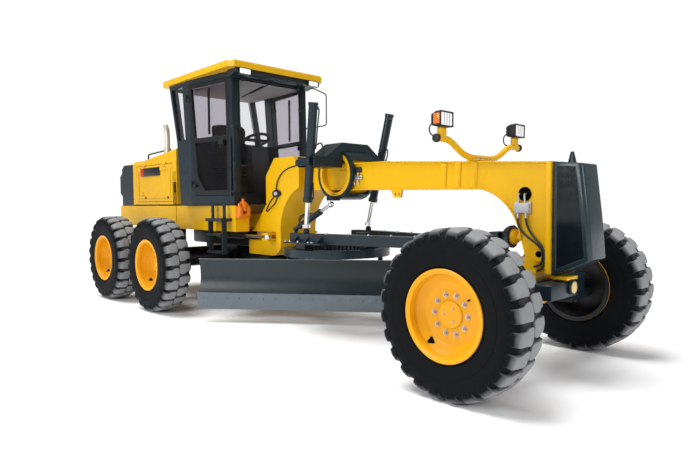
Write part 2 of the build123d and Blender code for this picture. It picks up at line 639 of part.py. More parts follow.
# ================================================================ front frame
leg_front_low, leg_front_mid, leg_front_high = (190, 1060), (262, 1400), (560, 1640)
leg_back = ((560, 1880), (450, 2015), (70, 2015), (-110, 1800), (-110, 1440), (-400, 1120), (-510, 1060))
leg_foot = ((-510, 800), (20, 800), (190, 930), leg_front_low)
foot_curve = (118, 832)
neck_start, neck_mid, neck_end = (2960, 1570), (3238, 1425), (3372, 1140)
head_foot = ((3420, 970), (3180, 970), (3180, 860), (head_front_x, 860))
flange_edge, flange_thickness = 18.0, 14.0
head_plate, head_plate_half = 40.0, 172.0
window_radius = 212.0
stiffener_x, stiffener_z, stiffener_size = 1230.0, 1745.0, (250.0, 150.0, 8.0)
with BuildPart() as front_frame:
    with BuildSketch(Plane.XZ):
        with BuildLine():
            Polyline(leg_foot[0], leg_foot[1])
            ThreePointArc(leg_foot[1], foot_curve, leg_foot[2])
            Line(leg_foot[2], leg_front_low)
            ThreePointArc(leg_front_low, leg_front_mid, leg_front_high)
            Polyline(leg_front_high, *leg_back, leg_foot[0])
        make_face()
    extrude(amount=leg_half, both=True)
    # ring boss of the saddle, open above and below the beam
    with BuildSketch(Plane.XZ):
        with Locations((saddle_x, saddle_z)):
            Circle(ring_radius)
            Circle(window_radius, mode=Mode.SUBTRACT)
    extrude(amount=ring_half, both=True)
    with BuildSketch(Plane.XZ):
        with BuildLine():
            Line((500, 1610), neck_start)
            ThreePointArc(neck_start, neck_mid, neck_end)
            Polyline(neck_end, *head_foot, (head_front_x, head_top_z), (beam_rear_top_x, beam_rear_top_z),
                     (500, 1900), (500, 1610))
        make_face()
    extrude(amount=beam_half - flange_edge, both=True)
    # top and bottom plates stand out past the side plates
    with BuildSketch(Plane.XZ):
        with BuildLine():
            Polyline((500, 1900), (beam_rear_top_x, beam_rear_top_z), (head_front_x, head_top_z),
                     (head_front_x, head_top_z - flange_thickness),
                     (beam_rear_top_x, beam_rear_top_z - flange_thickness), (500, 1900 - flange_thickness),
                     close=True)
        make_face()
        with BuildLine():
            Line((500, 1610), neck_start)
            ThreePointArc(neck_start, neck_mid, neck_end)
            Line(neck_end, (neck_end[0] + flange_thickness, neck_end[1] + 4))
            ThreePointArc((neck_end[0] + flange_thickness, neck_end[1] + 4),
                          (neck_mid[0] + 10, neck_mid[1] + 10), (neck_start[0], neck_start[1] + flange_thickness))
            Polyline((neck_start[0], neck_start[1] + flange_thickness), (500, 1610 + flange_thickness), (500, 1610))
        make_face()
    extrude(amount=beam_half, both=True)
    # bolting plate for the nose cover
    with Locations((head_front_x - head_plate / 2, 0, (head_top_z + 870) / 2)):
        Box(head_plate, 2 * head_plate_half, head_top_z - 870)
    # stiffeners on the beam's sides inside the ring
    with Locations((stiffener_x, 0, stiffener_z)):
        Box(stiffener_size[0], 2 * (beam_half - flange_edge + stiffener_size[2]), stiffener_size[1])
    # thick bosses round the tow pin
    with BuildSketch(Plane.XZ):
        with Locations((tow_x, tow_z)):
            Circle(2.2 * tow_bore)
    extrude(amount=beam_half, both=True)
    # slot for the rear frame's nose, then the pin through it
    slot_reach = 160.0
    with BuildSketch(Plane.XY.offset(nose_z_low)):
        with BuildLine():
            Polyline((-600, 400), (articulation_x, slot_reach + 20), (articulation_x, -slot_reach - 20),
                     (-600, -400), close=True)
        make_face()
        with Locations((articulation_x, 0)):
            Circle(slot_reach + 20)
    extrude(amount=nose_z_high - nose_z_low, mode=Mode.SUBTRACT)
    with BuildSketch(Plane.XY.offset(nose_z_low - 20)):
        with Locations((articulation_x, 0)):
            Circle(pin_radius)
    extrude(amount=nose_z_high - nose_z_low + 90)
    with BuildSketch(Plane.XY.offset(nose_z_high)):
        with Locations((articulation_x, 0)):
            Circle(140)
        with Locations((articulation_x + 140, 0)):
            Rectangle(280, 280)
    extrude(amount=60)
    # lugs for the articulation cylinders
    for sign in (1, -1):
        with BuildSketch(Plane.XY.offset(cylinder_z - 55)):
            with BuildLine():
                Polyline((-620, sign * 130), (-45, sign * 262), (90, sign * 262), (90, sign * 420),
                         (-620, sign * 420), close=True)
            make_face()
        extrude(amount=110, mode=Mode.SUBTRACT)
        for lug_z in (cylinder_z - lug_offset, cylinder_z + lug_offset):
            with Locations((20, sign * (leg_half + 40), lug_z)):
                Box(130, 160, lug_thickness)
    # tow pin hole through the head, and the sling lug under the beam
    with BuildSketch(Plane.XZ):
        with Locations((tow_x, tow_z)):
            Circle(tow_bore)
    extrude(amount=beam_half + 1, both=True, mode=Mode.SUBTRACT)
    with BuildSketch(Plane.XZ.offset(beam_half - lug_thickness)):
        with BuildLine():
            Polyline((lug_x - 100, 1600), (lug_x - 45, 1505), (lug_x + 45, 1505), (lug_x + 60, 1600), close=True)
        make_face()
        with Locations((lug_x - lug_hole_pitch / 2, lug_hole_z), (lug_x + lug_hole_pitch / 2, lug_hole_z)):
            Circle(lug_hole, mode=Mode.SUBTRACT)
    extrude(amount=lug_thickness)
    # axle hangers under the head
    for hanger_x in (front_axle_x - 125, front_axle_x + 125):
        with Locations((hanger_x, 0, 780)):
            Box(40, 2 * beam_half, 200)
        with BuildSketch(Plane(origin=(hanger_x - 20, 0, 700), x_dir=(0, 1, 0), z_dir=(1, 0, 0))):
            Circle(110)
        extrude(amount=40)
    with BuildSketch(Plane(origin=(front_axle_x - 200, 0, 700), x_dir=(0, 1, 0), z_dir=(1, 0, 0))):
        Circle(45)
    extrude(amount=400)
    # ball stud for the drawbar
    with BuildSketch(Plane(origin=(ball_x, 0, ball_z), x_dir=(0, 1, 0), z_dir=(1, 0, 0))):
        Circle(38)
    extrude(amount=150)
    with Locations((ball_x, 0, ball_z)):
        Sphere(ball_radius)
save(front_frame, "front_frame")

# saddle: a band round the boss ring, a crossbar over it, and the ears that hold the lift cylinders' gimbals
trunnion = tuple(e + lift_trunnion_t * (t - e) for e, t in zip(lift_eye, lift_top))
ear_x_in, ear_x_out = 117.5, 142.5
band_radius, band_half = 290.0, 185.0
crossbar_top_z, crossbar_half = 2120.0, 110.0
arm_y_in, arm_y_out, ear_y_out = 200.0, 430.0, 600.0
ear_half_z = 55.0
with BuildPart() as saddle:
    with BuildSketch(Plane.XZ):
        with Locations((saddle_x, saddle_z)):
            Circle(band_radius)
            Circle(ring_radius + axle_gap, mode=Mode.SUBTRACT)
    extrude(amount=band_half, both=True)
    # the beam passes through the band with room to spare
    with Locations((saddle_x, 0, (beam_low_z + beam_high_z) / 2)):
        Box(4 * band_radius, 2 * (beam_half + 10), beam_high_z - beam_low_z + 40, mode=Mode.SUBTRACT)
    with BuildSketch(Plane(origin=(trunnion[0] - ear_x_out, 0, 0), x_dir=(0, 1, 0), z_dir=(1, 0, 0))):
        with BuildLine():
            Polyline((-arm_y_out, trunnion[2] - ear_half_z), (-arm_y_out, trunnion[2] + ear_half_z),
                     (-arm_y_in, crossbar_top_z), (arm_y_in, crossbar_top_z),
                     (arm_y_out, trunnion[2] + ear_half_z), (arm_y_out, trunnion[2] - ear_half_z),
                     (arm_y_in, trunnion[2] - ear_half_z), (arm_y_in - 10, saddle_z + ring_radius - 30),
                     (-arm_y_in + 10, saddle_z + ring_radius - 30), (-arm_y_in, trunnion[2] - ear_half_z),
                     close=True)
        make_face()
    extrude(amount=2 * ear_x_out)
    with BuildSketch(Plane.XZ):
        with Locations((saddle_x, saddle_z)):
            Circle(ring_radius + axle_gap)
    extrude(amount=ring_half + 4, both=True, mode=Mode.SUBTRACT)
    for sign in (1, -1):
        for ear in (1, -1):
            with Locations((trunnion[0] + ear * (ear_x_in + ear_x_out) / 2, sign * (arm_y_out + ear_y_out) / 2 - sign * 5,
                            trunnion[2])):
                Box(ear_x_out - ear_x_in, ear_y_out - arm_y_out + 10, 2 * ear_half_z)
    # pad under the band for the centre-shift cylinder's upper ball
    pad_low_z = shift_top[2] + shift_ball_radius + 8
    pad_out, pad_in = shift_top[1] - 28, -band_half + 40
    with Locations((shift_top[0], (pad_out + pad_in) / 2, (pad_low_z + saddle_z - ring_radius - 5) / 2)):
        Box(90, pad_in - pad_out, saddle_z - ring_radius - 5 - pad_low_z)
save(saddle, "saddle")

# ================================================================ nose cover, lamps
nose_back_x, nose_corner_x, nose_front_x, nose_half = 3660.3, 3740.0, 3800.0, 420.0
nose_low_z, nose_top_z = 900.0, 1770.0
border, panel_depth = 55.0, 10.0
fin_height, fin_half = 90.0, 8.0
with BuildPart() as nose_cover:
    with BuildSketch(Plane.XY.offset(nose_low_z)):
        with BuildLine():
            Line((nose_back_x, -nose_half), (nose_corner_x, -nose_half))
            ThreePointArc((nose_corner_x, -nose_half), (nose_front_x, 0), (nose_corner_x, nose_half))
            Line((nose_corner_x, nose_half), (nose_back_x, nose_half))
            Line((nose_back_x, nose_half), (nose_back_x, -nose_half))
        make_face()
    extrude(amount=nose_top_z - nose_low_z)
    # the front sheet sits back inside a border
    with BuildSketch(Plane.XY.offset(nose_low_z + border)):
        with BuildLine():
            reach = nose_half - border
            inner_x = nose_corner_x + (nose_front_x - nose_corner_x) * (1 - (reach / nose_half) ** 2)
            ThreePointArc((inner_x - panel_depth, -reach), (nose_front_x - panel_depth, 0),
                          (inner_x - panel_depth, reach))
            Polyline((inner_x - panel_depth, reach), (nose_front_x + panel_depth, reach),
                     (nose_front_x + panel_depth, -reach), (inner_x - panel_depth, -reach))
        make_face()
    extrude(amount=nose_top_z - nose_low_z - 2 * border, mode=Mode.SUBTRACT)
    # lifting fin on top
    with BuildSketch(Plane.XZ):
        with BuildLine():
            Polyline((nose_back_x + 25, nose_top_z - 5), (nose_back_x + 95, nose_top_z - 5),
                     (nose_back_x + 75, nose_top_z + fin_height), (nose_back_x + 50, nose_top_z + fin_height),
                     close=True)
        make_face()
    extrude(amount=fin_half, both=True)
save(nose_cover, "nose_cover")

lamp_x, lamp_y = 2890.0, 590.0
bracket_half = 22.0
bracket_z = beam_top(lamp_x - bracket_half) + axle_gap
lamp_foot_z = 2085.0
with BuildPart() as lamp_bracket:
    for sign in (1, -1):
        with BuildSketch(Plane(origin=(lamp_x, 0, 0), x_dir=(0, 1, 0), z_dir=(1, 0, 0))):
            with BuildLine():
                Polyline((0, bracket_z), (sign * 150, bracket_z), (sign * 250, 1880), (sign * 520, 2040),
                         (sign * 640, 2040), (sign * 640, lamp_foot_z), (sign * 505, lamp_foot_z),
                         (sign * 240, 1925), (sign * 130, bracket_z + 50), (0, bracket_z + 50), close=True)
            make_face()
        extrude(amount=bracket_half, both=True)
save(lamp_bracket, "lamp_bracket")
lamp_width, lamp_height, lamp_depth = 180.0, 130.0, 110.0
lamp_mid_z = lamp_foot_z + axle_gap + lamp_height / 2
with BuildPart() as head_lamps:
    for sign in (1, -1):
        with BuildSketch(Plane(origin=(lamp_x - lamp_depth / 2, sign * lamp_y, lamp_mid_z), x_dir=(0, 1, 0),
                               z_dir=(1, 0, 0))):
            RectangleRounded(lamp_width - 40, lamp_height - 30, 20)
        with BuildSketch(Plane(origin=(lamp_x, sign * lamp_y, lamp_mid_z), x_dir=(0, 1, 0), z_dir=(1, 0, 0))):
            RectangleRounded(lamp_width, lamp_height, 20)
        loft()
        with BuildSketch(Plane(origin=(lamp_x, sign * lamp_y, lamp_mid_z), x_dir=(0, 1, 0), z_dir=(1, 0, 0))):
            RectangleRounded(lamp_width, lamp_height, 20)
        extrude(amount=lamp_depth / 2)
        with BuildSketch(Plane(origin=(lamp_x + lamp_depth / 2, sign * lamp_y, lamp_mid_z), x_dir=(0, 1, 0),
                               z_dir=(1, 0, 0))):
            RectangleRounded(lamp_width - 16, lamp_height - 16, 14)
        extrude(amount=-12, mode=Mode.SUBTRACT)
        with Locations((lamp_x, sign * lamp_y, lamp_foot_z + axle_gap + 10)):
            Box(40, 60, 20)
save(head_lamps, "head_lamps")

# ================================================================ front axle
lean_y, lean_z = 640.0, 600.0
king_y = 890.0
axle_z = 660.0
with BuildPart() as front_axle:
    with BuildSketch(Plane(origin=(front_axle_x, 0, 0), x_dir=(0, 1, 0), z_dir=(1, 0, 0))):
        with BuildLine():
            ThreePointArc((-lean_y, lean_z - 60), (0, lean_z - 20), (lean_y, lean_z - 60))
            Line((lean_y, lean_z - 60), (lean_y, lean_z + 60))
            ThreePointArc((lean_y, lean_z + 60), (340, lean_z + 82), (160, lean_z + 160))
            Line((160, lean_z + 160), (-160, lean_z + 160))
            ThreePointArc((-160, lean_z + 160), (-340, lean_z + 82), (-lean_y, lean_z + 60))
            Line((-lean_y, lean_z + 60), (-lean_y, lean_z - 60))
        make_face()
        for sign in (1, -1):
            with Locations((sign * lean_y, lean_z)):
                Circle(60)
        with Locations((0, 700)):
            Circle(46, mode=Mode.SUBTRACT)
    extrude(amount=100, both=True)
save(front_axle, "front_axle")

king_radius, king_bore = 35.0, 35.5
arm_eye_x, arm_eye_y = front_axle_x - 255, lean_y
arm_drop, stud_drop, stud_radius = 60.0, 40.0, 14.0
lean_rod_z = lean_z + 190
ear_low, ear_high = lean_z - 50, lean_z + 130
for side, sign in sides:
    with BuildPart() as lean_bracket:
        # two cheeks round the axle's end, joined outside it by the king-pin block
        with BuildSketch(Plane(origin=(front_axle_x, 0, 0), x_dir=(0, 1, 0), z_dir=(1, 0, 0))):
            with BuildLine():
                Polyline((sign * (lean_y - 70), lean_z - 60), (sign * (king_y - 70), lean_z - 60),
                         (sign * (king_y - 70), lean_z + 150), (sign * (lean_y + 60), lean_rod_z + 40),
                         (sign * (lean_y - 20), lean_rod_z + 40), (sign * (lean_y - 70), lean_z + 60), close=True)
            make_face()
        extrude(amount=130, both=True)
        with Locations((front_axle_x, sign * (lean_y - 20), lean_z + 20)):
            Box(2 * (100 + axle_gap), 220, 560, mode=Mode.SUBTRACT)
        with Locations((front_axle_x + 150, sign * lean_y, lean_rod_z)):
            Box(40, 60, 60)
        for ear_z in (ear_low, ear_high):
            with Locations((front_axle_x, sign * (king_y - 45), ear_z)):
                Box(130, 190, 30)
            with Locations((front_axle_x, sign * king_y, ear_z)):
                Hole(king_bore)
    save(lean_bracket, f"lean_bracket_{side}")
    with BuildPart() as knuckle:
        with BuildSketch(Plane.XY.offset(ear_low + 20)):
            with Locations((front_axle_x, sign * king_y)):
                Circle(52)
        extrude(amount=ear_high - ear_low - 40)
        with BuildSketch(Plane.XY.offset(ear_low - arm_drop - 10)):
            with Locations((front_axle_x, sign * king_y)):
                Circle(king_radius)
        extrude(amount=ear_high - ear_low + arm_drop + 30)
        with BuildSketch(Plane.XZ.offset(-sign * king_y)):
            with Locations((front_axle_x, wheel_z)):
                Circle(50)
        extrude(amount=-sign * (track_half + hub_face - axle_gap - king_y))
        # steering arm, with the ball stud that stands on the tie rod
        with Locations((front_axle_x - 140, sign * (king_y - 35), ear_low - arm_drop)):
            Box(280, 40, 30)
        with Locations((arm_eye_x, sign * (arm_eye_y - 25 + king_y - 15) / 2, ear_low - arm_drop)):
            Box(50, king_y - 15 - arm_eye_y + 25, 30)
        with Locations((arm_eye_x, sign * arm_eye_y, ear_low - arm_drop - stud_drop + stud_radius)):
            Sphere(stud_radius)
        with BuildSketch(Plane.XY.offset(ear_low - arm_drop - stud_drop + stud_radius)):
            with Locations((arm_eye_x, sign * arm_eye_y)):
                Circle(stud_radius)
        extrude(amount=stud_drop - stud_radius)
    save(knuckle, f"knuckle_{side}")

rod_side = 36.0
with BuildPart() as tie_rod:
    with Locations((arm_eye_x, 0, ear_low - arm_drop - stud_drop - axle_gap - rod_side / 2)):
        Box(rod_side, 2 * (arm_eye_y + 25), rod_side)
save(tie_rod, "tie_rod")
with BuildPart() as lean_rod:
    with Locations((front_axle_x + 170 + axle_gap + rod_side / 2, 0, lean_rod_z)):
        Box(rod_side, 2 * (lean_y + 15), rod_side)
save(lean_rod, "lean_rod")

# ================================================================ drawbar
with BuildPart() as drawbar_ball_cap:
    with Locations((ball_x, 0, ball_z)):
        Sphere(ball_radius + 30)
        Sphere(ball_radius + 1, mode=Mode.SUBTRACT)
    with Locations((ball_x + 100, 0, ball_z)):
        Box(200, 300, 300, mode=Mode.SUBTRACT)
save(drawbar_ball_cap, "drawbar_socket")

gusset_y, gusset_reach, flange_z = 540.0, 70.0, 1018.0
pinion_x = circle_x + 437
with BuildPart() as drawbar:
    for sign in (1, -1):
        with BuildSketch(Plane.XY.offset(1010)):
            with BuildLine():
                Polyline((ball_x - 105, sign * 20), (ball_x - 105, sign * 90), (circle_x + 150, sign * 540),
                         (circle_x - 200, sign * 540), (circle_x - 200, sign * 420), (circle_x + 60, sign * 420),
                         (ball_x - 260, sign * 20), close=True)
            make_face()
        extrude(amount=110)
    with Locations((ball_x - ball_radius - 30 - axle_gap - 45, 0, 1100)):
        Box(90, 180, 180)
    with Locations((circle_x - 90, 0, 1030)):
        Box(160, 900, 60)
    with Locations((circle_x + 250, 0, 1030)):
        Box(120, 780, 40)
    # side flanges with gussets
    for sign in (1, -1):
        with Locations((circle_x + 110, sign * (gusset_y + gusset_reach / 2), flange_z)):
            Box(620, gusset_reach + 30, 16)
        for gusset_x in (circle_x - 60, circle_x + 130, circle_x + 320):
            side_y = gusset_y - max(0, gusset_x - circle_x - 150) * 0.235
            with BuildSketch(Plane(origin=(gusset_x, 0, flange_z), x_dir=(0, 1, 0), z_dir=(1, 0, 0))):
                with BuildLine():
                    Polyline((sign * (side_y - 15), 0), (sign * (gusset_y + gusset_reach), 0),
                             (sign * (side_y - 15), 96), close=True)
                make_face()
            extrude(amount=7, both=True)
    # gearbox of the circle's drive, its pinion reaching down inside the ring
    with Locations((pinion_x - 90, 0, 1030)):
        Box(320, 220, 40)
    with BuildSketch(Plane.XY.offset(1030)):
        with Locations((pinion_x, 0)):
            Circle(74)
    extrude(amount=95)
    with BuildSketch(Plane.XY.offset(circle_low_z + 10)):
        with Locations((pinion_x, 0)):
            Circle(42)
    extrude(amount=1040 - circle_low_z - 10)
    # circle guides
    for sign in (1, -1):
        with Locations((circle_x, sign * 500, (circle_high_z + guide_gap + 1015) / 2)):
            Box(160, 100, 1015 - circle_high_z - guide_gap)
    # arm and foot under the centre-shift cylinder's ball
    with Locations((shift_eye[0] + 85, shift_eye[1], 1040)):
        Box(280, 90, 60)
    foot_top = shift_eye[2] - shift_ball_radius - axle_gap
    with Locations((shift_eye[0], shift_eye[1], (1040 + foot_top) / 2)):
        Cylinder(24, foot_top - 1040)
    # lift ball studs
    for sign in (1, -1):
        with Locations((lift_eye[0], sign * lift_eye[1], 1140)):
            Sphere(36)
        with Locations((lift_eye[0], sign * lift_eye[1], 1100)):
            Cylinder(30, 60)
save(drawbar, "drawbar")

# the blade's own directions: first across it towards its back, then up
blade_yz = Plane(origin=(circle_x, 0, 0), x_dir=(-sin(radians(blade_angle)), cos(radians(blade_angle)), 0),
                 z_dir=(cos(radians(blade_angle)), sin(radians(blade_angle)), 0))
tip_y, tip_z = 325.0, 440.0
post_along, post_width, post_radius = 480.0, 50.0, 65.0
tooth_count, tooth_depth, tooth_gap = 64, 22.0, 30.0
with BuildPart() as circle_ring:
    with BuildSketch(Plane.XY.offset(circle_low_z)):
        with Locations((circle_x, 0)):
            Circle(circle_radius)
            Circle(circle_radius - 110, mode=Mode.SUBTRACT)
            with PolarLocations(circle_radius - 110 + tooth_depth / 2 - 2, tooth_count):
                Trapezoid(tooth_gap, tooth_depth + 4, 75, rotation=-90, mode=Mode.SUBTRACT)
    extrude(amount=circle_high_z - circle_low_z)
    # posts down to the tip pivots, round about the pivot's axis
    for along in (1, -1):
        with BuildSketch(blade_yz.offset(along * post_along - post_width / 2)):
            with BuildLine():
                Line((tip_y - post_radius, tip_z), (tip_y - post_radius, circle_low_z + 10))
                Line((tip_y - post_radius, circle_low_z + 10), (tip_y + post_radius, circle_low_z + 10))
                Line((tip_y + post_radius, circle_low_z + 10), (tip_y + post_radius, tip_z))
                ThreePointArc((tip_y + post_radius, tip_z), (tip_y, tip_z - post_radius), (tip_y - post_radius, tip_z))
            make_face()
        extrude(amount=post_width)
save(circle_ring, "circle")

# ================================================================ blade carrier, blade
back = blade_offset
rail_low_z, rail_high_z = 330.0, 600.0
rail_back = 140.0
with BuildPart() as blade:
    with BuildSketch(blade_yz.offset(blade_shift * -1 - blade_length / 2)):
        with BuildLine():
            face = ThreePointArc((back, blade_low_z + 150), (back + 90, 470), (back + 40, blade_low_z + blade_height))
            Line(face @ 1, (back + 58, blade_low_z + blade_height))
            ThreePointArc((back + 58, blade_low_z + blade_height), (back + 110, 470), (back + 20, blade_low_z + 150))
            Line((back + 20, blade_low_z + 150), face @ 0)
        make_face()
    extrude(amount=blade_length)
    for rail_z in (rail_low_z, rail_high_z):
        with BuildSketch(blade_yz.offset(-1200)):
            with Locations((back + rail_back - 20, rail_z)):
                Rectangle(40, 50)
        extrude(amount=2400)
    for along in (-1185, 0, 1185):
        with BuildSketch(blade_yz.offset(along - 15)):
            with BuildLine():
                Polyline((back + 40, rail_low_z), (back + rail_back - 2, rail_low_z), (back + rail_back - 2, rail_high_z),
                         (back + 70, rail_high_z + 60), close=True)
            make_face()
        extrude(amount=30)
save(blade, "blade")
with BuildPart() as cutting_edge:
    with BuildSketch(blade_yz.offset(blade_shift * -1 - blade_length / 2)):
        with BuildLine():
            Polyline((back - 19.3, blade_low_z), (back - 0.3, blade_low_z), (back - 0.3, blade_low_z + 200),
                     (back - 19.3, blade_low_z + 200), close=True)
        make_face()
    extrude(amount=blade_length)
save(cutting_edge, "cutting_edge")
with BuildPart() as blade_carrier:
    for along in (1, -1):
        with BuildSketch(blade_yz.offset(along * 427.2 - 27.5)):
            with BuildLine():
                Polyline((back + rail_back + axle_gap, rail_low_z - 25), (tip_y + 50, tip_z - 40),
                         (tip_y + 50, tip_z + 40), (back + rail_back + axle_gap, rail_high_z + 25), close=True)
            make_face()
        extrude(amount=55)
save(blade_carrier, "blade_carrier")

# ================================================================ cylinders
def cylinder_between(start, end, radius, bore=0.0, bore_length=0.0):
    """A round bar from start to end, with an optional bore from its start."""
    axis = Vector(*end) - Vector(*start)
    with BuildPart() as bar:
        with BuildSketch(Plane(origin=start, z_dir=axis)):
            Circle(radius)
        extrude(amount=axis.length)
        if bore:
            with BuildSketch(Plane(origin=start, z_dir=axis)):
                Circle(bore)
            extrude(amount=bore_length, mode=Mode.SUBTRACT)
    return bar


def along_line(start, end, share):
    return tuple(s + share * (e - s) for s, e in zip(start, end))


for side, sign in sides:
    eye = (lift_eye[0], sign * lift_eye[1], lift_eye[2])
    top = (lift_top[0], sign * lift_top[1], lift_top[2])
    trunnion_point = along_line(eye, top, lift_trunnion_t)
    foot = along_line(eye, top, lift_barrel_t)
    with BuildPart() as lift_barrel:
        add(cylinder_between(foot, top, lift_barrel_radius).part)
        add(cylinder_between(foot, along_line(eye, top, lift_barrel_t + 0.035), lift_barrel_radius + 7).part)
        add(cylinder_between(along_line(eye, top, 0.975), top, lift_barrel_radius + 5).part)
        with BuildSketch(Plane.XZ.offset(-trunnion_point[1])):
            with Locations((trunnion_point[0], trunnion_point[2])):
                Circle(22)
        extrude(amount=61.7, both=True)
        add(cylinder_between(foot, along_line(eye, top, 0.96), lift_rod_radius + 0.3).part, mode=Mode.SUBTRACT)
    save(lift_barrel, f"lift_barrel_{side}")
    with BuildPart() as lift_rod:
        add(cylinder_between(along_line(eye, top, 0.0), along_line(eye, top, 0.66), lift_rod_radius).part)
        with Locations(eye):
            Cylinder(45, 36)
    save(lift_rod, f"lift_rod_{side}")
    with BuildPart() as lift_yoke:
        with Locations(trunnion_point):
            Box(170, 170, 80)
            Box(124, 124, 82, mode=Mode.SUBTRACT)
        for ear in (1, -1):
            with BuildSketch(Plane(origin=(trunnion_point[0] + ear * 80, trunnion_point[1], trunnion_point[2]),
                                   x_dir=(0, 1, 0), z_dir=(ear, 0, 0))):
                Circle(25)
            extrude(amount=37.2)
    save(lift_yoke, f"lift_yoke_{side}")

# articulation cylinders
for side, sign in sides:
    barrel_pin = (-1150.0, sign * 430.0, cylinder_z)
    rod_pin = (20.0, sign * 350.0, cylinder_z)
    with BuildPart() as barrel:
        add(cylinder_between(along_line(barrel_pin, rod_pin, 0.08), along_line(barrel_pin, rod_pin, 0.60), 45).part)
        with Locations(barrel_pin):
            Cylinder(50, cylinder_eye)
        add(cylinder_between(barrel_pin, along_line(barrel_pin, rod_pin, 0.1), 20).part)
        add(cylinder_between(along_line(barrel_pin, rod_pin, 0.12), along_line(barrel_pin, rod_pin, 0.7), 20.3).part,
            mode=Mode.SUBTRACT)
    save(barrel, f"articulation_barrel_{side}")
    with BuildPart() as rod:
        add(cylinder_between(along_line(barrel_pin, rod_pin, 0.38), along_line(barrel_pin, rod_pin, 0.99), 20).part)
        with Locations(rod_pin):
            Cylinder(48, cylinder_eye)
    save(rod, f"articulation_rod_{side}")

# centre-shift cylinder, from the drawbar's rear corner up to the pad under the saddle
shift_line = Vector(*shift_top) - Vector(*shift_eye)
shift_length = shift_line.length
shift_axis = Axis(shift_eye, shift_line)
shift_plane = Plane(origin=shift_eye, x_dir=shift_line, z_dir=shift_line.cross(Vector(0, 0, 1)))
shift_rod_radius, shift_barrel_radius, shift_tail_radius = 18.0, 36.0, 22.0
shift_bore = shift_rod_radius + axle_gap
barrel_start, barrel_end, rod_start = 60.0, 0.72 * shift_length, 0.28 * shift_length


def ball_neck(neck_radius):
    """How far from the ball's centre its surface meets a neck of a given radius."""
    return (shift_ball_radius ** 2 - neck_radius ** 2) ** 0.5


with BuildPart() as shift_barrel:
    with BuildSketch(shift_plane):
        with BuildLine():
            ThreePointArc((-shift_ball_radius, 0), (0, shift_ball_radius), (ball_neck(shift_tail_radius), shift_tail_radius))
            Polyline((ball_neck(shift_tail_radius), shift_tail_radius), (barrel_start, shift_tail_radius),
                     (barrel_start, shift_barrel_radius), (barrel_end, shift_barrel_radius), (barrel_end, shift_bore),
                     (barrel_start + 15, shift_bore), (barrel_start + 15, 0), (-shift_ball_radius, 0))
        make_face()
    revolve(axis=shift_axis)
save(shift_barrel, "shift_barrel")
with BuildPart() as shift_rod:
    with BuildSketch(shift_plane):
        neck = shift_length - ball_neck(shift_rod_radius)
        with BuildLine():
            ThreePointArc((neck, shift_rod_radius), (shift_length, shift_ball_radius), (shift_length + shift_ball_radius, 0))
            Polyline((shift_length + shift_ball_radius, 0), (rod_start, 0), (rod_start, shift_rod_radius),
                     (neck, shift_rod_radius))
        make_face()
    revolve(axis=shift_axis)
save(shift_rod, "shift_rod")
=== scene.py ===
"""Looks of the motor grader: paint, rubber, glass, tread, fasteners, hoses, lamps and trim.

Metres, in the frame of the solids: +X forward, +Y to the driver's left, +Z up.
"""
import json
from math import cos, pi, radians, sin

import bmesh
import bpy
from mathutils import Matrix, Vector


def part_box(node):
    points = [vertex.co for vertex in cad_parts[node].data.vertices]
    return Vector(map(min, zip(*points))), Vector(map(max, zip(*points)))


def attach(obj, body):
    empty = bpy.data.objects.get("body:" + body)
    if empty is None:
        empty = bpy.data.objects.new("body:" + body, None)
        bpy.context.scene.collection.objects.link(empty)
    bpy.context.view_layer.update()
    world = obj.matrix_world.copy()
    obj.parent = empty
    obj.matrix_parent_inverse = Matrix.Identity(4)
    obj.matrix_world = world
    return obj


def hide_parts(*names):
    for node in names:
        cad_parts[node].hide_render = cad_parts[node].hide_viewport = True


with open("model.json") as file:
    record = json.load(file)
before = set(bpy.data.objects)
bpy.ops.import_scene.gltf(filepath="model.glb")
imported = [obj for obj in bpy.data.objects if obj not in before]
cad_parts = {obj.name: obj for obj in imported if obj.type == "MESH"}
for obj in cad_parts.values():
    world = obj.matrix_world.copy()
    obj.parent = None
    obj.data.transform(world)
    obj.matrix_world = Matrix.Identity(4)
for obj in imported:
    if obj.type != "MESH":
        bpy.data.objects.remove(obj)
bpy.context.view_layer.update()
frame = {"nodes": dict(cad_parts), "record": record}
scene = bpy.context.scene

# ------------------------------ camera
# A low three-quarter view on the front right wheel, from a little above axle height,
# with the long beam running away to the cab.
camera_place = Vector((5.833, -4.438, 1.445))
heading, pitch, roll = radians(45.81), radians(-3.071), radians(-0.298)
forward = Vector((-sin(heading) * cos(pitch), cos(heading) * cos(pitch), sin(pitch)))
right = Vector((cos(heading), sin(heading), 0))
up = right.cross(forward)
right, up = right * cos(roll) + up * sin(roll), up * cos(roll) - right * sin(roll)
camera = bpy.data.objects.new("camera", bpy.data.cameras.new("camera"))
camera.data.lens = 29.3
camera.data.sensor_width = 36
camera.data.shift_x = -0.01658
camera.data.shift_y = -0.00066
turn = Matrix((right, up, -forward)).transposed().to_4x4()
camera.matrix_world = Matrix.Translation(camera_place) @ turn
scene.collection.objects.link(camera)
bpy.context.scene.camera = camera

# ------------------------------ floor and studio light
# A white seamless floor and a white room. A broad soft sun high behind the camera's
# left shoulder lights the tops, and two soft lamps fill the near side and the nose.
scene.view_settings.view_transform = "Standard"
scene.view_settings.look = "None"


def new_material(name):
    """A fresh material with its tree and its Principled shader."""
    material = bpy.data.materials.new(name)
    material.use_nodes = True
    return material, material.node_tree, material.node_tree.nodes["Principled BSDF"]


def settle(node, **values):
    """Sets a node's sockets; an underscore in a name stands for a space."""
    for socket, value in values.items():
        node.inputs[socket.replace("_", " ")].default_value = value


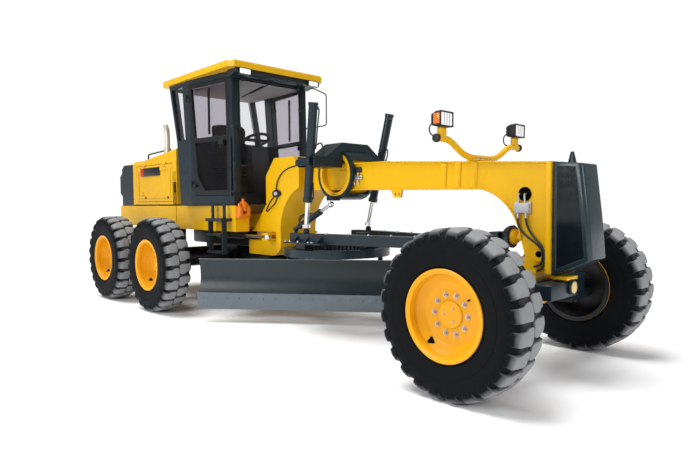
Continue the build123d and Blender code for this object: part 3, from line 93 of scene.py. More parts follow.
floor_paper, _, floor_shader = new_material("floor_paper")
settle(floor_shader, Base_Color=(0.93, 0.93, 0.93, 1), Roughness=0.9, Specular_IOR_Level=0.1)
floor_form = bmesh.new()
bmesh.ops.create_grid(floor_form, x_segments=2, y_segments=2, size=60)
floor_mesh = bpy.data.meshes.new("floor")
floor_form.to_mesh(floor_mesh)
floor_form.free()
floor_mesh.materials.append(floor_paper)
floor = bpy.data.objects.new("floor", floor_mesh)
scene.collection.objects.link(floor)

sky = bpy.data.worlds.new("studio")
sky.use_nodes = True
room = sky.node_tree
seen = room.nodes.new("ShaderNodeLightPath")
through = room.nodes.new("ShaderNodeMath")
through.operation = "MAXIMUM"
brightness = room.nodes.new("ShaderNodeMapRange")
settle(brightness, To_Min=0.36, To_Max=1)
room.links.new(seen.outputs["Is Camera Ray"], through.inputs[0])
room.links.new(seen.outputs["Is Transmission Ray"], through.inputs[1])
room.links.new(through.outputs["Value"], brightness.inputs["Value"])
room.links.new(brightness.outputs["Result"], room.nodes["Background"].inputs["Strength"])
settle(room.nodes["Background"], Color=(1, 1, 1, 1))
scene.world = sky

sun = bpy.data.objects.new("light_sun", bpy.data.lights.new("light_sun", "SUN"))
sun.data.energy = 2.9
sun.data.angle = radians(34)
sun.rotation_euler = Vector((0.28, 0.22, -1)).to_track_quat("-Z", "Y").to_euler()
scene.collection.objects.link(sun)

soft_lamps = (
    # name, place, aimed at, size, watts
    ("near_side", (0.5, -9.0, 4.5), (-0.5, 0, 1.2), 4.0, 330),
    ("nose", (9.5, -1.0, 4.0), (3.4, 0, 1.0), 3.0, 130),
)
for label, place, aim, size, watts in soft_lamps:
    lamp = bpy.data.objects.new("light_" + label, bpy.data.lights.new("light_" + label, "AREA"))
    lamp.data.shape = "DISK"
    lamp.data.size = size
    lamp.data.energy = watts
    lamp.location = place
    lamp.rotation_euler = (Vector(aim) - Vector(place)).to_track_quat("-Z", "Y").to_euler()
    scene.collection.objects.link(lamp)

# ------------------------------ tyres
# Bias-ply grader tyres of black rubber, moulded with deep block lugs whose inner ends
# meet in a zigzag down the middle. Their beads seat on the rims.
tyre_radius, tread_floor, bead_radius = 0.635, 0.606, 0.349
lugs_round = 24
shoulder_across, shoulder_width, shoulder_drop = 0.12, 0.06, 0.052
# From this radius outwards the lugs turn pale grey: partly wear and dust, partly a painted highlight on
# the lug tops.
highlight_wear_start, highlight_wear_depth = 0.602, 0.022
lug_root, lug_flare, root_across, lug_rounding = 0.012, 0.006, 0.17, 0.005
sides = (("left", 1), ("right", -1))


def join(tree, source, target):
    """A link from an output to an input."""
    tree.links.new(source, target)


def noise(tree, coordinates, scale, detail=4.0, roughness=0.6):
    """A noise texture on the given coordinates; returns its value."""
    texture = tree.nodes.new("ShaderNodeTexNoise")
    settle(texture, Scale=scale, Detail=detail, Roughness=roughness)
    join(tree, coordinates, texture.inputs["Vector"])
    return texture.outputs["Fac"]


def remap(tree, value, low, high, to_low, to_high):
    """A value's range stretched to another, kept within it."""
    stretch = tree.nodes.new("ShaderNodeMapRange")
    for socket, number in zip(("From Min", "From Max", "To Min", "To Max"), (low, high, to_low, to_high)):
        if isinstance(number, (int, float)):
            stretch.inputs[socket].default_value = number
        else:
            join(tree, number, stretch.inputs[socket])
    join(tree, value, stretch.inputs["Value"])
    return stretch.outputs["Result"]


def maths(tree, first, second, operation="MULTIPLY"):
    """The result of a Math node, a product unless told otherwise."""
    node = tree.nodes.new("ShaderNodeMath")
    node.operation = operation
    for socket, value in zip(node.inputs, (first, second)):
        if isinstance(value, (int, float)):
            socket.default_value = value
        else:
            join(tree, value, socket)
    return node.outputs["Value"]


def blend_colour(tree, mask, first, second):
    """The first colour, turning into the second where the mask is 1."""
    mix = tree.nodes.new("ShaderNodeMix")
    mix.data_type = "RGBA"
    join(tree, mask, mix.inputs["Factor"])
    for socket, colour in ((mix.inputs["A"], first), (mix.inputs["B"], second)):
        if isinstance(colour, tuple):
            socket.default_value = (*colour, 1)
        else:
            join(tree, colour, socket)
    return mix.outputs["Result"]


def settled_surface():
    """Uneven tone, dust that thickens towards the ground, and a fine grain in height."""
    tree = bpy.data.node_groups.new("settled_surface", "ShaderNodeTree")
    for label, kind, value in (("Colour", "Color", (0.5, 0.5, 0.5, 1)), ("Dust", "Float", 0.1),
                               ("Gloss Low", "Float", 0.3), ("Gloss High", "Float", 0.5),
                               ("Grain", "Float", 400)):
        socket = tree.interface.new_socket(name=label, in_out="INPUT", socket_type="NodeSocket" + kind)
        socket.default_value = value
    for label, kind in (("Colour", "Color"), ("Roughness", "Float"), ("Height", "Float")):
        tree.interface.new_socket(name=label, in_out="OUTPUT", socket_type="NodeSocket" + kind)
    given, made = tree.nodes.new("NodeGroupInput"), tree.nodes.new("NodeGroupOutput")
    place = tree.nodes.new("ShaderNodeTexCoord").outputs["Object"]
    split = tree.nodes.new("ShaderNodeSeparateXYZ")
    join(tree, place, split.inputs["Vector"])
    patches = noise(tree, place, 2.2, 5.0)
    streaks = noise(tree, place, 14.0, 6.0, 0.7)
    tone = tree.nodes.new("ShaderNodeHueSaturation")
    join(tree, given.outputs["Colour"], tone.inputs["Color"])
    join(tree, remap(tree, patches, 0.3, 0.7, 0.93, 1.04), tone.inputs["Value"])
    low_down = remap(tree, split.outputs["Z"], 0.1, 1.9, 1.0, 0.12)
    settled = maths(tree, low_down, remap(tree, streaks, 0.35, 0.75, 0.2, 1.0))
    mask = maths(tree, settled, given.outputs["Dust"])
    colour = blend_colour(tree, mask, tone.outputs["Color"], (0.3, 0.25, 0.19))
    join(tree, colour, made.inputs["Colour"])
    gloss = remap(tree, streaks, 0.3, 0.7, given.outputs["Gloss Low"], given.outputs["Gloss High"])
    join(tree, maths(tree, gloss, maths(tree, mask, 0.4), "ADD"), made.inputs["Roughness"])
    grain = tree.nodes.new("ShaderNodeTexNoise")
    settle(grain, Detail=2)
    join(tree, place, grain.inputs["Vector"])
    join(tree, given.outputs["Grain"], grain.inputs["Scale"])
    join(tree, grain.outputs["Fac"], made.inputs["Height"])
    return tree


surface_effect = settled_surface()


def finish(name, colour, gloss=(0.3, 0.45), dust=0.02, grain=400, bump=0.05, rounding=0.0, specular=0.5,
           wear_and_highlight=None, painted_shade_below=None, **shader_values):
    """A material of this machine: a colour through settled_surface, with rounded edges if asked.

    One argument gives a colour that a piece's vertex attribute brings out: wear, together with a painted
    highlight on the tyre lugs. Another gives a height and the painted shade colour below it.
    """
    material, tree, shader = new_material(name)
    surface = tree.nodes.new("ShaderNodeGroup")
    surface.node_tree = surface_effect
    settle(surface, Colour=(*colour, 1), Dust=dust, Gloss_Low=gloss[0], Gloss_High=gloss[1], Grain=grain)
    # Below the given height the colour turns to painted shade.
    if painted_shade_below:
        place = tree.nodes.new("ShaderNodeTexCoord")
        parts = tree.nodes.new("ShaderNodeSeparateXYZ")
        join(tree, place.outputs["Object"], parts.inputs["Vector"])
        low = maths(tree, parts.outputs["Z"], painted_shade_below[0], "LESS_THAN")
        join(tree, blend_colour(tree, low, colour, painted_shade_below[1]), surface.inputs["Colour"])
    # The attribute's colour: wear, together with a painted highlight on the lug tops.
    if wear_and_highlight:
        worn_and_lit = tree.nodes.new("ShaderNodeAttribute")
        worn_and_lit.attribute_name = "wear_and_highlight"
        join(tree, blend_colour(tree, worn_and_lit.outputs["Fac"], colour, wear_and_highlight), surface.inputs["Colour"])
    join(tree, surface.outputs["Colour"], shader.inputs["Base Color"])
    join(tree, surface.outputs["Roughness"], shader.inputs["Roughness"])
    relief = tree.nodes.new("ShaderNodeBump")
    settle(relief, Strength=bump, Distance=0.002)
    join(tree, surface.outputs["Height"], relief.inputs["Height"])
    join(tree, relief.outputs["Normal"], shader.inputs["Normal"])
    if rounding:
        edge = tree.nodes.new("ShaderNodeBevel")
        edge.samples = 4
        settle(edge, Radius=rounding)
        join(tree, edge.outputs["Normal"], relief.inputs["Normal"])
    settle(shader, Specular_IOR_Level=specular, **shader_values)
    return material


def piece(name, form, material, body, sharp=35):
    """A finished bmesh as an object that rides on a body, smooth but for its sharp edges."""
    bmesh.ops.recalc_face_normals(form, faces=form.faces)
    mesh = bpy.data.meshes.new(name)
    form.to_mesh(mesh)
    form.free()
    mesh.shade_smooth()
    mesh.set_sharp_from_angle(angle=radians(sharp))
    mesh.materials.append(material)
    made = bpy.data.objects.new(name, mesh)
    scene.collection.objects.link(made)
    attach(made, body)
    return made


def dress(material, *names):
    """Gives CAD nodes a material; the name of a pair stands for both its sides."""
    for name in names:
        for node in [name] if name in frame["nodes"] else [f"{name}_{side}" for side, _ in sides]:
            solid = frame["nodes"][node]
            solid.data.materials.clear()
            solid.data.materials.append(material)


def body_of(node):
    """The body that a CAD node rides on."""
    bodies = frame["record"]["behaviour"]["bodies"]
    return next(name for name, members in bodies.items() if node in members)


def middle(node):
    """The middle of a CAD node's box."""
    low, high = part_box(node)
    return (low + high) / 2


# Black rubber; its lugs' outer faces turn pale grey: partly wear and dust, partly painted highlight.
rubber = finish("tyre_rubber", (0.0035, 0.0045, 0.0055), gloss=(0.5, 0.66), dust=0.0, grain=260,
    bump=0.35, wear_and_highlight=(0.27, 0.277, 0.287), specular=0.08)

lug_rows = (
    # across, radius, half width at the top, skew
    (0.1795, 0.545, 0.03, 0.0),
    (0.178, 0.585, 0.042, 0.0),
    (0.166, 0.613, 0.048, 0.0),
    (0.142, 0.627, 0.05, 0.0),
    (0.095, 0.634, 0.05, 0.004),
    (0.07, 0.635, 0.06, 0.014),
    (0.03, 0.635, 0.06, 0.018),
    (0.004, 0.635, 0.052, 0.02),
)


def carcass_radius(across):
    """Radius of the tread's floor and the sidewall below the lugs."""
    if across < shoulder_across:
        return tread_floor
    return tread_floor - shoulder_drop * ((across - shoulder_across) / shoulder_width) ** 1.6


def round_edges(form, edges, offset, segments=2):
    """Rounds some edges of a form."""
    bmesh.ops.bevel(form, geom=edges, offset=offset, segments=segments, profile=0.5, affect="EDGES",
                    material=-1)


def lug_form(form):
    """One lug at the top of a wheel that turns about Y, on its +Y side."""
    bmesh.ops.create_cube(form, size=2.0)
    across = [e for e in form.edges if abs(e.verts[0].co.y - e.verts[1].co.y) > 1]
    bmesh.ops.subdivide_edges(form, edges=across, cuts=len(lug_rows) - 2, use_grid_fill=True)
    along = [e for e in form.edges if abs(e.verts[0].co.x - e.verts[1].co.x) > 1]
    bmesh.ops.subdivide_edges(form, edges=along, cuts=1, use_grid_fill=True)
    for corner in form.verts:
        row = round((1 - corner.co.y) / 2 * (len(lug_rows) - 1))
        y, radius, half, skew = lug_rows[row]
        side = corner.co.x
        if corner.co.z < 0:
            radius, half = min(carcass_radius(y), radius) - lug_root, half + lug_flare
            y = min(y, root_across)
        around = (side * half + skew) / tyre_radius
        corner.co = Vector((radius * sin(around), y, radius * cos(around)))
    rim_edges = [e for e in form.edges if min(v.co.xz.length for v in e.verts) > 0.54
                 and e.calc_face_angle(0) > radians(40)]
    round_edges(form, rim_edges, lug_rounding, 1)


def everything(form):
    """All corners, edges and faces of a form."""
    return form.verts[:] + form.edges[:] + form.faces[:]


def tread(form):
    """All the lugs of one tyre, half a pitch apart on its two sides."""
    lug_form(form)
    bmesh.ops.spin(form, geom=everything(form), cent=(0, 0, 0), axis=(0, 1, 0),
                   angle=2 * pi * (lugs_round - 1) / lugs_round, steps=lugs_round - 1, use_duplicate=True)
    far_side = bmesh.ops.duplicate(form, geom=everything(form))["geom"]
    far_corners = [v for v in far_side if isinstance(v, bmesh.types.BMVert)]
    bmesh.ops.scale(form, vec=(-1, -1, 1), verts=far_corners)
    half_pitch = Matrix.Rotation(pi / lugs_round, 3, "Y")
    bmesh.ops.rotate(form, cent=(0, 0, 0), matrix=half_pitch, verts=far_corners)


carcass_profile = (
    # across, radius: from the bead round the sidewall to the tread's middle
    (0.15, 0.322), (0.157, 0.33), (0.157, bead_radius), (0.163, 0.356), (0.17, 0.362), (0.171, 0.372),
    (0.174, 0.385), (0.1785, 0.43), (0.1795, 0.455), (0.1765, 0.46), (0.179, 0.468), (0.1795, 0.5),
    (0.1765, 0.535), (0.168, 0.566), (0.152, 0.588), (0.128, 0.602), (0.08, 0.6065), (0.0, 0.607),
)


def turned(form, profile, steps, closed=False):
    """A profile in (across, radius), turned about a wheel's axis."""
    corners = [form.verts.new((0, across, radius)) for across, radius in profile]
    edges = [form.edges.new(pair) for pair in zip(corners, corners[1:] + corners[:1] * closed)]
    bmesh.ops.spin(form, geom=corners + edges, cent=(0, 0, 0), axis=(0, 1, 0), angle=2 * pi, steps=steps,
                   use_merge=True)


def carcass(form):
    """The tyre's round body, turned from its half profile and mirrored."""
    turned(form, carcass_profile, 96)
    bmesh.ops.mirror(form, geom=everything(form), axis="Y", merge_dist=0.0001)
    bmesh.ops.remove_doubles(form, verts=form.verts, dist=0.0002)


wheels = [(end, side) for end in ("front", "middle", "rear") for side, _ in sides]
for end, side in wheels:
    rubber_form = bmesh.new()
    tread(rubber_form)
    lug_mesh = bpy.data.meshes.new("lugs")
    rubber_form.to_mesh(lug_mesh)
    rubber_form.free()
    rubber_form = bmesh.new()
    carcass(rubber_form)
    rubber_form.from_mesh(lug_mesh)
    # How far out a corner lies sets how much pale grey it shows: wear, and a painted highlight on the lug
    # tops.
    worn_and_lit = rubber_form.verts.layers.float.new("wear_and_highlight")
    for corner in rubber_form.verts:
        corner[worn_and_lit] = min(1, max(0, (corner.co.xz.length - highlight_wear_start) / highlight_wear_depth))
    bmesh.ops.translate(rubber_form, vec=middle(f"tyre_{end}_{side}"), verts=rubber_form.verts)
    bpy.data.meshes.remove(lug_mesh)
    turning = body_of(f"tyre_{end}_{side}")
    tyre = piece(f"tread_{end}_{side}", rubber_form, rubber, turning, 28)
    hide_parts(f"tyre_{end}_{side}")

# ------------------------------ rims
# Pressed steel rims in gloss yellow, black behind their outer face as painted shade. Ten nuts on studs,
# three grease plugs, a valve and a three-cornered hand hole sit on each; the hand hole is a black plate of
# painted shade.
yellow = finish("yellow_enamel", (0.8, 0.445, 0.003), gloss=(0.24, 0.36), dust=0.012, grain=700,
    bump=0.04, rounding=0.006, specular=0.22, Coat_Weight=0.12, Coat_Roughness=0.12)
wheel_yellow = finish("wheel_enamel", (0.8, 0.365, 0.003), gloss=(0.28, 0.42), grain=500, rounding=0.005,
    specular=0.22, Coat_Weight=0.1, Coat_Roughness=0.2)
slate = finish("slate_enamel", (0.008, 0.019, 0.027), gloss=(0.24, 0.38), grain=500, bump=0.06,
    rounding=0.006, specular=0.3, Coat_Weight=0.08, Coat_Roughness=0.2)
blade_grey = finish("blade_enamel", (0.018, 0.029, 0.036), gloss=(0.26, 0.4), dust=0.03, grain=420,
    bump=0.08, rounding=0.005, specular=0.35)
zinc = finish("zinc_plate", (0.55, 0.56, 0.58), gloss=(0.28, 0.4), dust=0.03, grain=300, bump=0.1,
    Metallic=1.0)
chrome = finish("rod_chrome", (0.82, 0.83, 0.85), gloss=(0.06, 0.12), dust=0.0, grain=900, bump=0.01,
    Metallic=1.0)
black_paint = finish("black_enamel", (0.008, 0.009, 0.011), dust=0.03, rounding=0.005,
    specular=0.35)
steel = finish("worn_steel", (0.15, 0.175, 0.2), gloss=(0.3, 0.5), dust=0.03, grain=180, bump=0.12,
    rounding=0.004, Metallic=0.9)
plastic = finish("black_plastic", (0.012, 0.012, 0.014), gloss=(0.45, 0.6), dust=0.04, grain=800,
    bump=0.2, rounding=0.003, specular=0.3)
studs = finish("nut_zinc", (0.55, 0.45, 0.4), bump=0.08, Metallic=0.85)
# Near-black plates standing in for the shade inside holes, slots and pipe mouths: painted shade.
shade_black = finish("deep_shadow", (0.002, 0.002, 0.002), gloss=(0.8, 0.9), dust=0.0, bump=0.0,
    specular=0.05)


def facing(place, direction):
    """A turn and a move that take +Z to a direction at a place."""
    return Matrix.Translation(place) @ Vector(direction).to_track_quat("Z", "Y").to_matrix().to_4x4()


def cone(form, place, direction, radii, depth, base=0.0, segments=32, caps=True):
    """A round or many-sided cone; its base lies at a height over a place. Returns its corners."""
    stand = facing(place, direction) @ Matrix.Translation((0, 0, base + depth / 2))
    made = bmesh.ops.create_cone(form, cap_ends=caps, segments=segments, radius1=radii[0],
                                 radius2=radii[1], depth=depth, matrix=stand)
    return made["verts"]


def bolt(form, place, direction, across=0.024):
    """A hexagon head on its washer."""
    cone(form, place, direction, (0.82 * across, 0.78 * across), 0.004, -0.001, 14)
    cone(form, place, direction, (0.577 * across, 0.52 * across), 0.5 * across, 0.003, 6)


def disc(form, place, direction, radius, depth, rounding=0.004, segments=32):
    """A short round plug with rounded rims, standing on a place."""
    made = cone(form, place, direction, (radius, radius), depth, 0.0, segments)
    edges = {e for v in made for e in v.link_edges if e.calc_face_angle(0) > radians(60)}
    round_edges(form, list(edges), min(rounding, 0.45 * depth))


def block(form, centre, size, rounding=0.006, direction=(0, 0, 1)):
    """A box with rounded edges, its third size along a direction."""
    made = bmesh.ops.create_cube(form, size=1)["verts"]
    bmesh.ops.scale(form, vec=size, verts=made)
    edges = list({e for v in made for e in v.link_edges})
    bmesh.ops.transform(form, matrix=facing(centre, direction), verts=made)
    round_edges(form, edges, rounding)


def pipe(form, points, radius):
    """A round pipe or clipped hose along a smooth line between its two fittings."""
    line = bpy.data.curves.new("line", "CURVE")
    line.dimensions = "3D"
    run = line.splines.new("NURBS")
    run.points.add(len(points) - 1)
    for corner, point in zip(run.points, points):
        corner.co = (*point, 1)
    run.order_u = 3
    run.use_endpoint_u = True
    line.resolution_u = 8
    line.bevel_depth = radius
    line.bevel_resolution = 3
    line.use_fill_caps = True
    holder = bpy.data.objects.new("line", line)
    mesh = bpy.data.meshes.new_from_object(holder)
    form.from_mesh(mesh)
    bpy.data.objects.remove(holder)
    bpy.data.curves.remove(line)
    bpy.data.meshes.remove(mesh)


def build(name, material, body, slot, *parts, sharp=35):
    """A piece made of parts, each of them a helper and what it is called with."""
    form = bmesh.new()
    for maker, *given in parts:
        maker(form, *given)
    return piece(name, form, material, body, sharp)


rim_flange = (
    # across, radius: the inner flange, the barrel and the outer flange of every rim
    (-0.172, 0.343), (-0.16, 0.343), (-0.158, 0.316), (0.157, 0.316), (0.159, 0.338), (0.163, 0.3445),
    (0.17, 0.3445), (0.175, 0.339), (0.1745, 0.33), (0.167, 0.319), (0.165, 0.307), (0.152, 0.3025),
    (0.126, 0.3015), (0.124, 0.2985), (0.117, 0.2985), (0.115, 0.3005),
)
rim_kinds = {
    # across of the nuts and of the plugs; the hand hole's radius, across and tilt; then across and
    # radius over the disc to the hub, and back along its inside
    "front": (0.06, 0.075, 0.268, 0.0885, 0.83,
              ((0.108, 0.299), (0.1, 0.292), (0.068, 0.24), (0.061, 0.23), (0.06, 0.222),
               (0.06, 0.112), (0.063, 0.105), (0.07, 0.103), (0.074, 0.098), (0.075, 0.06), (0.075, 0.0),
               (0.03, 0.0), (0.03, 0.118), (0.04, 0.122), (0.04, 0.222), (0.072, 0.2995),
               (-0.172, 0.2995))),
    "rear": (-0.026, 0.043, 0.28, 0.034, 0.3,
             ((0.1, 0.299), (0.08, 0.295), (-0.006, 0.268), (-0.022, 0.256), (-0.026, 0.242),
              (-0.026, 0.106), (-0.022, 0.098), (0.028, 0.092), (0.04, 0.086), (0.043, 0.076),
              (0.043, 0.0), (0.0302, 0.0), (0.0302, 0.064), (-0.045, 0.066), (-0.045, 0.246),
              (-0.03, 0.272), (0.0, 0.2995), (-0.172, 0.2995))),
}
nut_circle, nuts_round = 0.148, 10
plug_circle, plug_turns = 0.055, (0.5, 2.6, 4.7)
hole_towards = Vector((-0.6, 0, -0.8))

for end, side in wheels:
    out = dict(sides)[side]
    outward, turning = (0, out, 0), body_of(f"rim_{end}_{side}")
    centre = middle(f"rim_{end}_{side}")
    hub_place = Vector((centre.x, middle(f"tyre_{end}_{side}").y, centre.z))
    face_across, plug_across, hole_radius, hole_across, hole_tilt, rim_disc = rim_kinds[
        "front" if end == "front" else "rear"]

    rim_form = bmesh.new()
    turned(rim_form, [(out * across, radius) for across, radius in rim_flange + rim_disc], 80, True)
    bmesh.ops.remove_doubles(rim_form, verts=rim_form.verts, dist=0.0002)
    bmesh.ops.recalc_face_normals(rim_form, faces=rim_form.faces)
    # Faces turned inwards and the inner barrel take the black: painted shade inside the wheel.
    for face in rim_form.faces:
        spot = face.calc_center_median()
        faces_in = face.normal.y * out < -0.3
        inner_barrel = out * spot.y < -0.04 and spot.xz.dot(face.normal.xz) < 0
        face.material_index = 1 if faces_in or inner_barrel else 0
    bmesh.ops.translate(rim_form, vec=hub_place, verts=rim_form.verts)
    rim = piece(f"rim_shell_{end}_{side}", rim_form, wheel_yellow, turning, 30)
    rim.data.materials.append(black_paint)
    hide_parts(f"rim_{end}_{side}")

    def on_hub(radius, around, across):
        """A place on the rim's outer face."""
        return hub_place + Vector((radius * sin(around), out * across, radius * cos(around)))

    nut_form = bmesh.new()
    for nut in range(nuts_round):
        spot = on_hub(nut_circle, 2 * pi * (nut + 0.5) / nuts_round, face_across)
        bolt(nut_form, spot, outward, 0.03)
        cone(nut_form, spot, outward, (0.009, 0.0075), 0.028, 0.0, 10)
    for around in plug_turns:
        bolt(nut_form, on_hub(plug_circle, around, plug_across), outward, 0.013)
    piece(f"wheel_nuts_{end}_{side}", nut_form, studs, turning)

    # The hand hole is a near-black plate on the rim's face: painted shade; the valve beside it shares that
    # black.
    hole_form = bmesh.new()
    normal = Vector((0, out * hole_tilt, 0)) - hole_towards * (1 - hole_tilt ** 2) ** 0.5
    spot = hub_place + hole_towards * hole_radius + Vector((0, out * hole_across, 0))
    cone(hole_form, spot, normal, (0.04, 0.04), 0.005, -0.0025, 3)
    round_edges(hole_form, [e for e in hole_form.edges if e.calc_length() < 0.01], 0.014, 3)
    valve_place = hub_place + Vector((0.158, out * face_across, 0.122))
    disc(hole_form, valve_place, outward, 0.008, 0.016, 0.003, 12)
    piece(f"hand_hole_{end}_{side}", hole_form, shade_black, turning)

# ------------------------------ welded frames
# Plate frames in gloss yellow over the running gear, the rear one black underneath as painted shade. Slate
# castings carry the wheels, the circle and the blade; rods are hard chrome.
# Black below 1.075 m: painted shade under the rear frame.
frame_yellow = finish("frame_enamel", (0.8, 0.445, 0.003), gloss=(0.24, 0.36), dust=0.012, grain=700,
    bump=0.04, painted_shade_below=(1.075, (0.008, 0.009, 0.011)), specular=0.22, Coat_Weight=0.12)


def tinted_glass(name, tint):
    """Clear safety glass, toned through its thickness."""
    material, _, shader = new_material(name)
    settle(shader, Base_Color=(*tint, 1), Roughness=0.01, Transmission_Weight=1, IOR=1.18)
    return material


dress(yellow, "front_frame", "hood_shell", "hood_door", "cab_roof", "lamp_bracket")
dress(frame_yellow, "rear_frame")
dress(slate, "cab_frame", "cab_steps", "saddle", "front_axle", "lean_bracket", "knuckle", "tie_rod",
      "lean_rod", "drawbar_socket", "drawbar", "circle", "blade_carrier", "radiator_guard",
      "tandem_case", "lift_yoke", "lift_barrel", "shift_barrel")
dress(blade_grey, "blade")
dress(black_paint, "engine_block", "articulation_barrel", "cab_door")
dress(chrome, "lift_rod", "articulation_rod", "shift_rod")
dress(steel, "cutting_edge")
dress(plastic, "cab_seat_and_console", "head_lamps")
dress(tinted_glass("clear_glass", (0.88, 0.88, 0.9)), "cab_glass")
dress(tinted_glass("door_glass", (0.5, 0.47, 0.52)), "door_glass")

beam, machine = "front_frame", "rear_machine"
plate_face = 0.122
fold_lean = Matrix.Rotation(radians(4), 3, "Y")
fold_form = bmesh.new()
for sign in (1, -1):
    for fold_x in (2.559, 2.72, 2.899):
        swage = cone(fold_form, (0, 0, 0), (0, 0, 1), (0.04, 0.04), 0.236, -0.118, 20)
        bmesh.ops.scale(fold_form, vec=(1, 0.5, 1), verts=swage)
        bmesh.ops.rotate(fold_form, cent=(0, 0, 0), matrix=fold_lean, verts=swage)
        bmesh.ops.translate(fold_form, vec=(fold_x, sign * plate_face, 1.704), verts=swage)
piece("beam_folds", fold_form, yellow, beam, 50)

ring_turns = [2 * pi * step / 5 for step in range(5)]
build("frame_bolts", zinc, beam, "rod_chrome",
      *((bolt, (-0.34 + 0.115 * cos(turn), 0.115 * sin(turn), 1.39), (0, 0, 1), 0.026)
        for turn in ring_turns))

# ------------------------------ brake and lamp lines on the beam
# Lines come out of a round hole in the head, pass a pale junction box and run down to the
# axle; a clamp and a plug close the beam's rear hole, and more lines run down its leg.
hose_rubber = finish("hose_rubber", (0.012, 0.012, 0.013), gloss=(0.4, 0.55), dust=0.04, grain=900,
    bump=0.25, specular=0.35)
pale_grey = finish("pale_grey_enamel", (0.42, 0.43, 0.44), gloss=(0.35, 0.5), dust=0.03, rounding=0.004)
side_y, leg_face = -plate_face, -0.28
hole_x, hole_z, hole_half = 3.409, 1.52, 0.056
box_x, box_z = 3.395, 1.402
clamp_x, clamp_z = 1.385, 1.732
oval_x, oval_z = 0.134, 1.576


def beside(face, line):
    """Points of a line, given as x, distance out from a right-hand face, and z."""
    return [(x, face - proud, z) for x, proud, z in line]


def on_plates(x, z, proud, *size):
    """A disc on each of the beam's two side plates."""
    return [(disc, (x, sign * (plate_face + proud), z), (0, sign, 0), *size) for sign in (1, -1)]


# The round hole is a near-black disc on each side plate: painted shade.
build("line_hole", shade_black, beam, "tyre_rubber", *on_plates(hole_x, hole_z, 0, hole_half, 0.003, 0.001))
hole_rim = bmesh.new()
for sign in (1, -1):
    cone(hole_rim, (hole_x, sign * (plate_face + 0.003), hole_z), (0, sign, 0), (hole_half, 0.06), 0.008,
         -0.004, 36, False)
bmesh.ops.solidify(hole_rim, geom=hole_rim.faces[:], thickness=0.004)
piece("line_hole_rim", hole_rim, rubber, beam)
build("junction_box", pale_grey, beam, "rod_chrome",
      (block, (box_x, side_y - 0.022, box_z), (0.135, 0.044, 0.085), 0.01),
      *((block, (box_x + shift, side_y - 0.01, box_z), (0.045, 0.018, 0.104))
        for shift in (-0.055, 0.055)))
fittings = []
for start in (-0.028, 0.028):
    bend = ((3.4 + start, 0.002, hole_z), (3.398 + start, 0.045, 1.522),
            (3.396 + start, 0.034, 1.48), (box_x + start, 0.024, 1.44))
    stub = ((box_x + 1.3 * start, 0.026, 1.362), (box_x + 1.3 * start, 0.026, 1.318))
    fittings += (pipe, beside(side_y, bend), 0.0085), (pipe, beside(side_y, stub), 0.011)
build("line_fittings", zinc, beam, "rod_chrome", *fittings)
axle_lines = (
    ((3.359, 0.026, 1.33), (3.352, 0.026, 1.255), (3.44, 0.03, 1.165), (3.575, 0.034, 1.085),
     (3.598, 0.04, 1.0), (3.575, 0.03, 0.93), (3.5, 0.004, 0.915)),
    ((3.431, 0.026, 1.33), (3.438, 0.026, 1.25), (3.52, 0.034, 1.15), (3.606, 0.046, 1.08),
     (3.616, 0.046, 0.985), (3.6, 0.036, 0.905), (3.53, 0.004, 0.885)),
)
build("axle_lines", hose_rubber, beam, "tyre_rubber",
      *((pipe, beside(side_y, line), 0.0095) for line in axle_lines))

build("beam_plug", hose_rubber, beam, "tyre_rubber",
      (block, (1.4, side_y - 0.012, 1.814), (0.125, 0.03, 0.062), 0.014))
build("beam_clamp", zinc, beam, "rod_chrome",
      (block, (clamp_x, side_y - 0.014, clamp_z), (0.19, 0.032, 0.046), 0.012),
      *((bolt, (clamp_x + shift, side_y - 0.03, clamp_z), (0, -1, 0), 0.018) for shift in (-0.075, 0.075)),
      *((pipe, beside(side_y, ((clamp_x + shift, 0.018, 1.785), (clamp_x + shift, 0.026, 1.72),
                               (clamp_x + shift, 0.012, 1.655))), 0.01) for shift in (-0.03, 0.03)))
leg_lines = (
    ((0.52, 0.008, 1.9), (0.33, 0.01, 1.88), (0.18, 0.012, 1.78), (0.12, 0.016, 1.66),
     (0.128, 0.016, 1.58)),
    ((0.105, 0.014, 1.56), (0.02, 0.012, 1.5), (-0.06, 0.01, 1.43), (-0.1, 0.008, 1.355)),
    ((0.155, 0.014, 1.555), (0.11, 0.012, 1.46), (0.01, 0.01, 1.41), (-0.07, 0.008, 1.354)),
)
build("leg_lines", hose_rubber, beam, "tyre_rubber",
      *((pipe, beside(leg_face, line), 0.0075) for line in leg_lines))


def oval(form, proud, radius, depth, rounding, stretch):
    """A plug over the leg's lines, stretched along the machine."""
    disc(form, (oval_x, leg_face - proud, oval_z), (0, -1, 0), radius, depth, rounding)
    bmesh.ops.scale(form, vec=(stretch, 1, 1), verts=form.verts,
                    space=Matrix.Translation((-oval_x, 0, -oval_z)))


build("leg_clamp", black_paint, beam, "tyre_rubber", (oval, 0.0, 0.048, 0.03, 0.01, 1.75))
build("leg_clamp_cap", pale_grey, beam, "rod_chrome", (oval, 0.028, 0.024, 0.008, 0.003, 1.5))

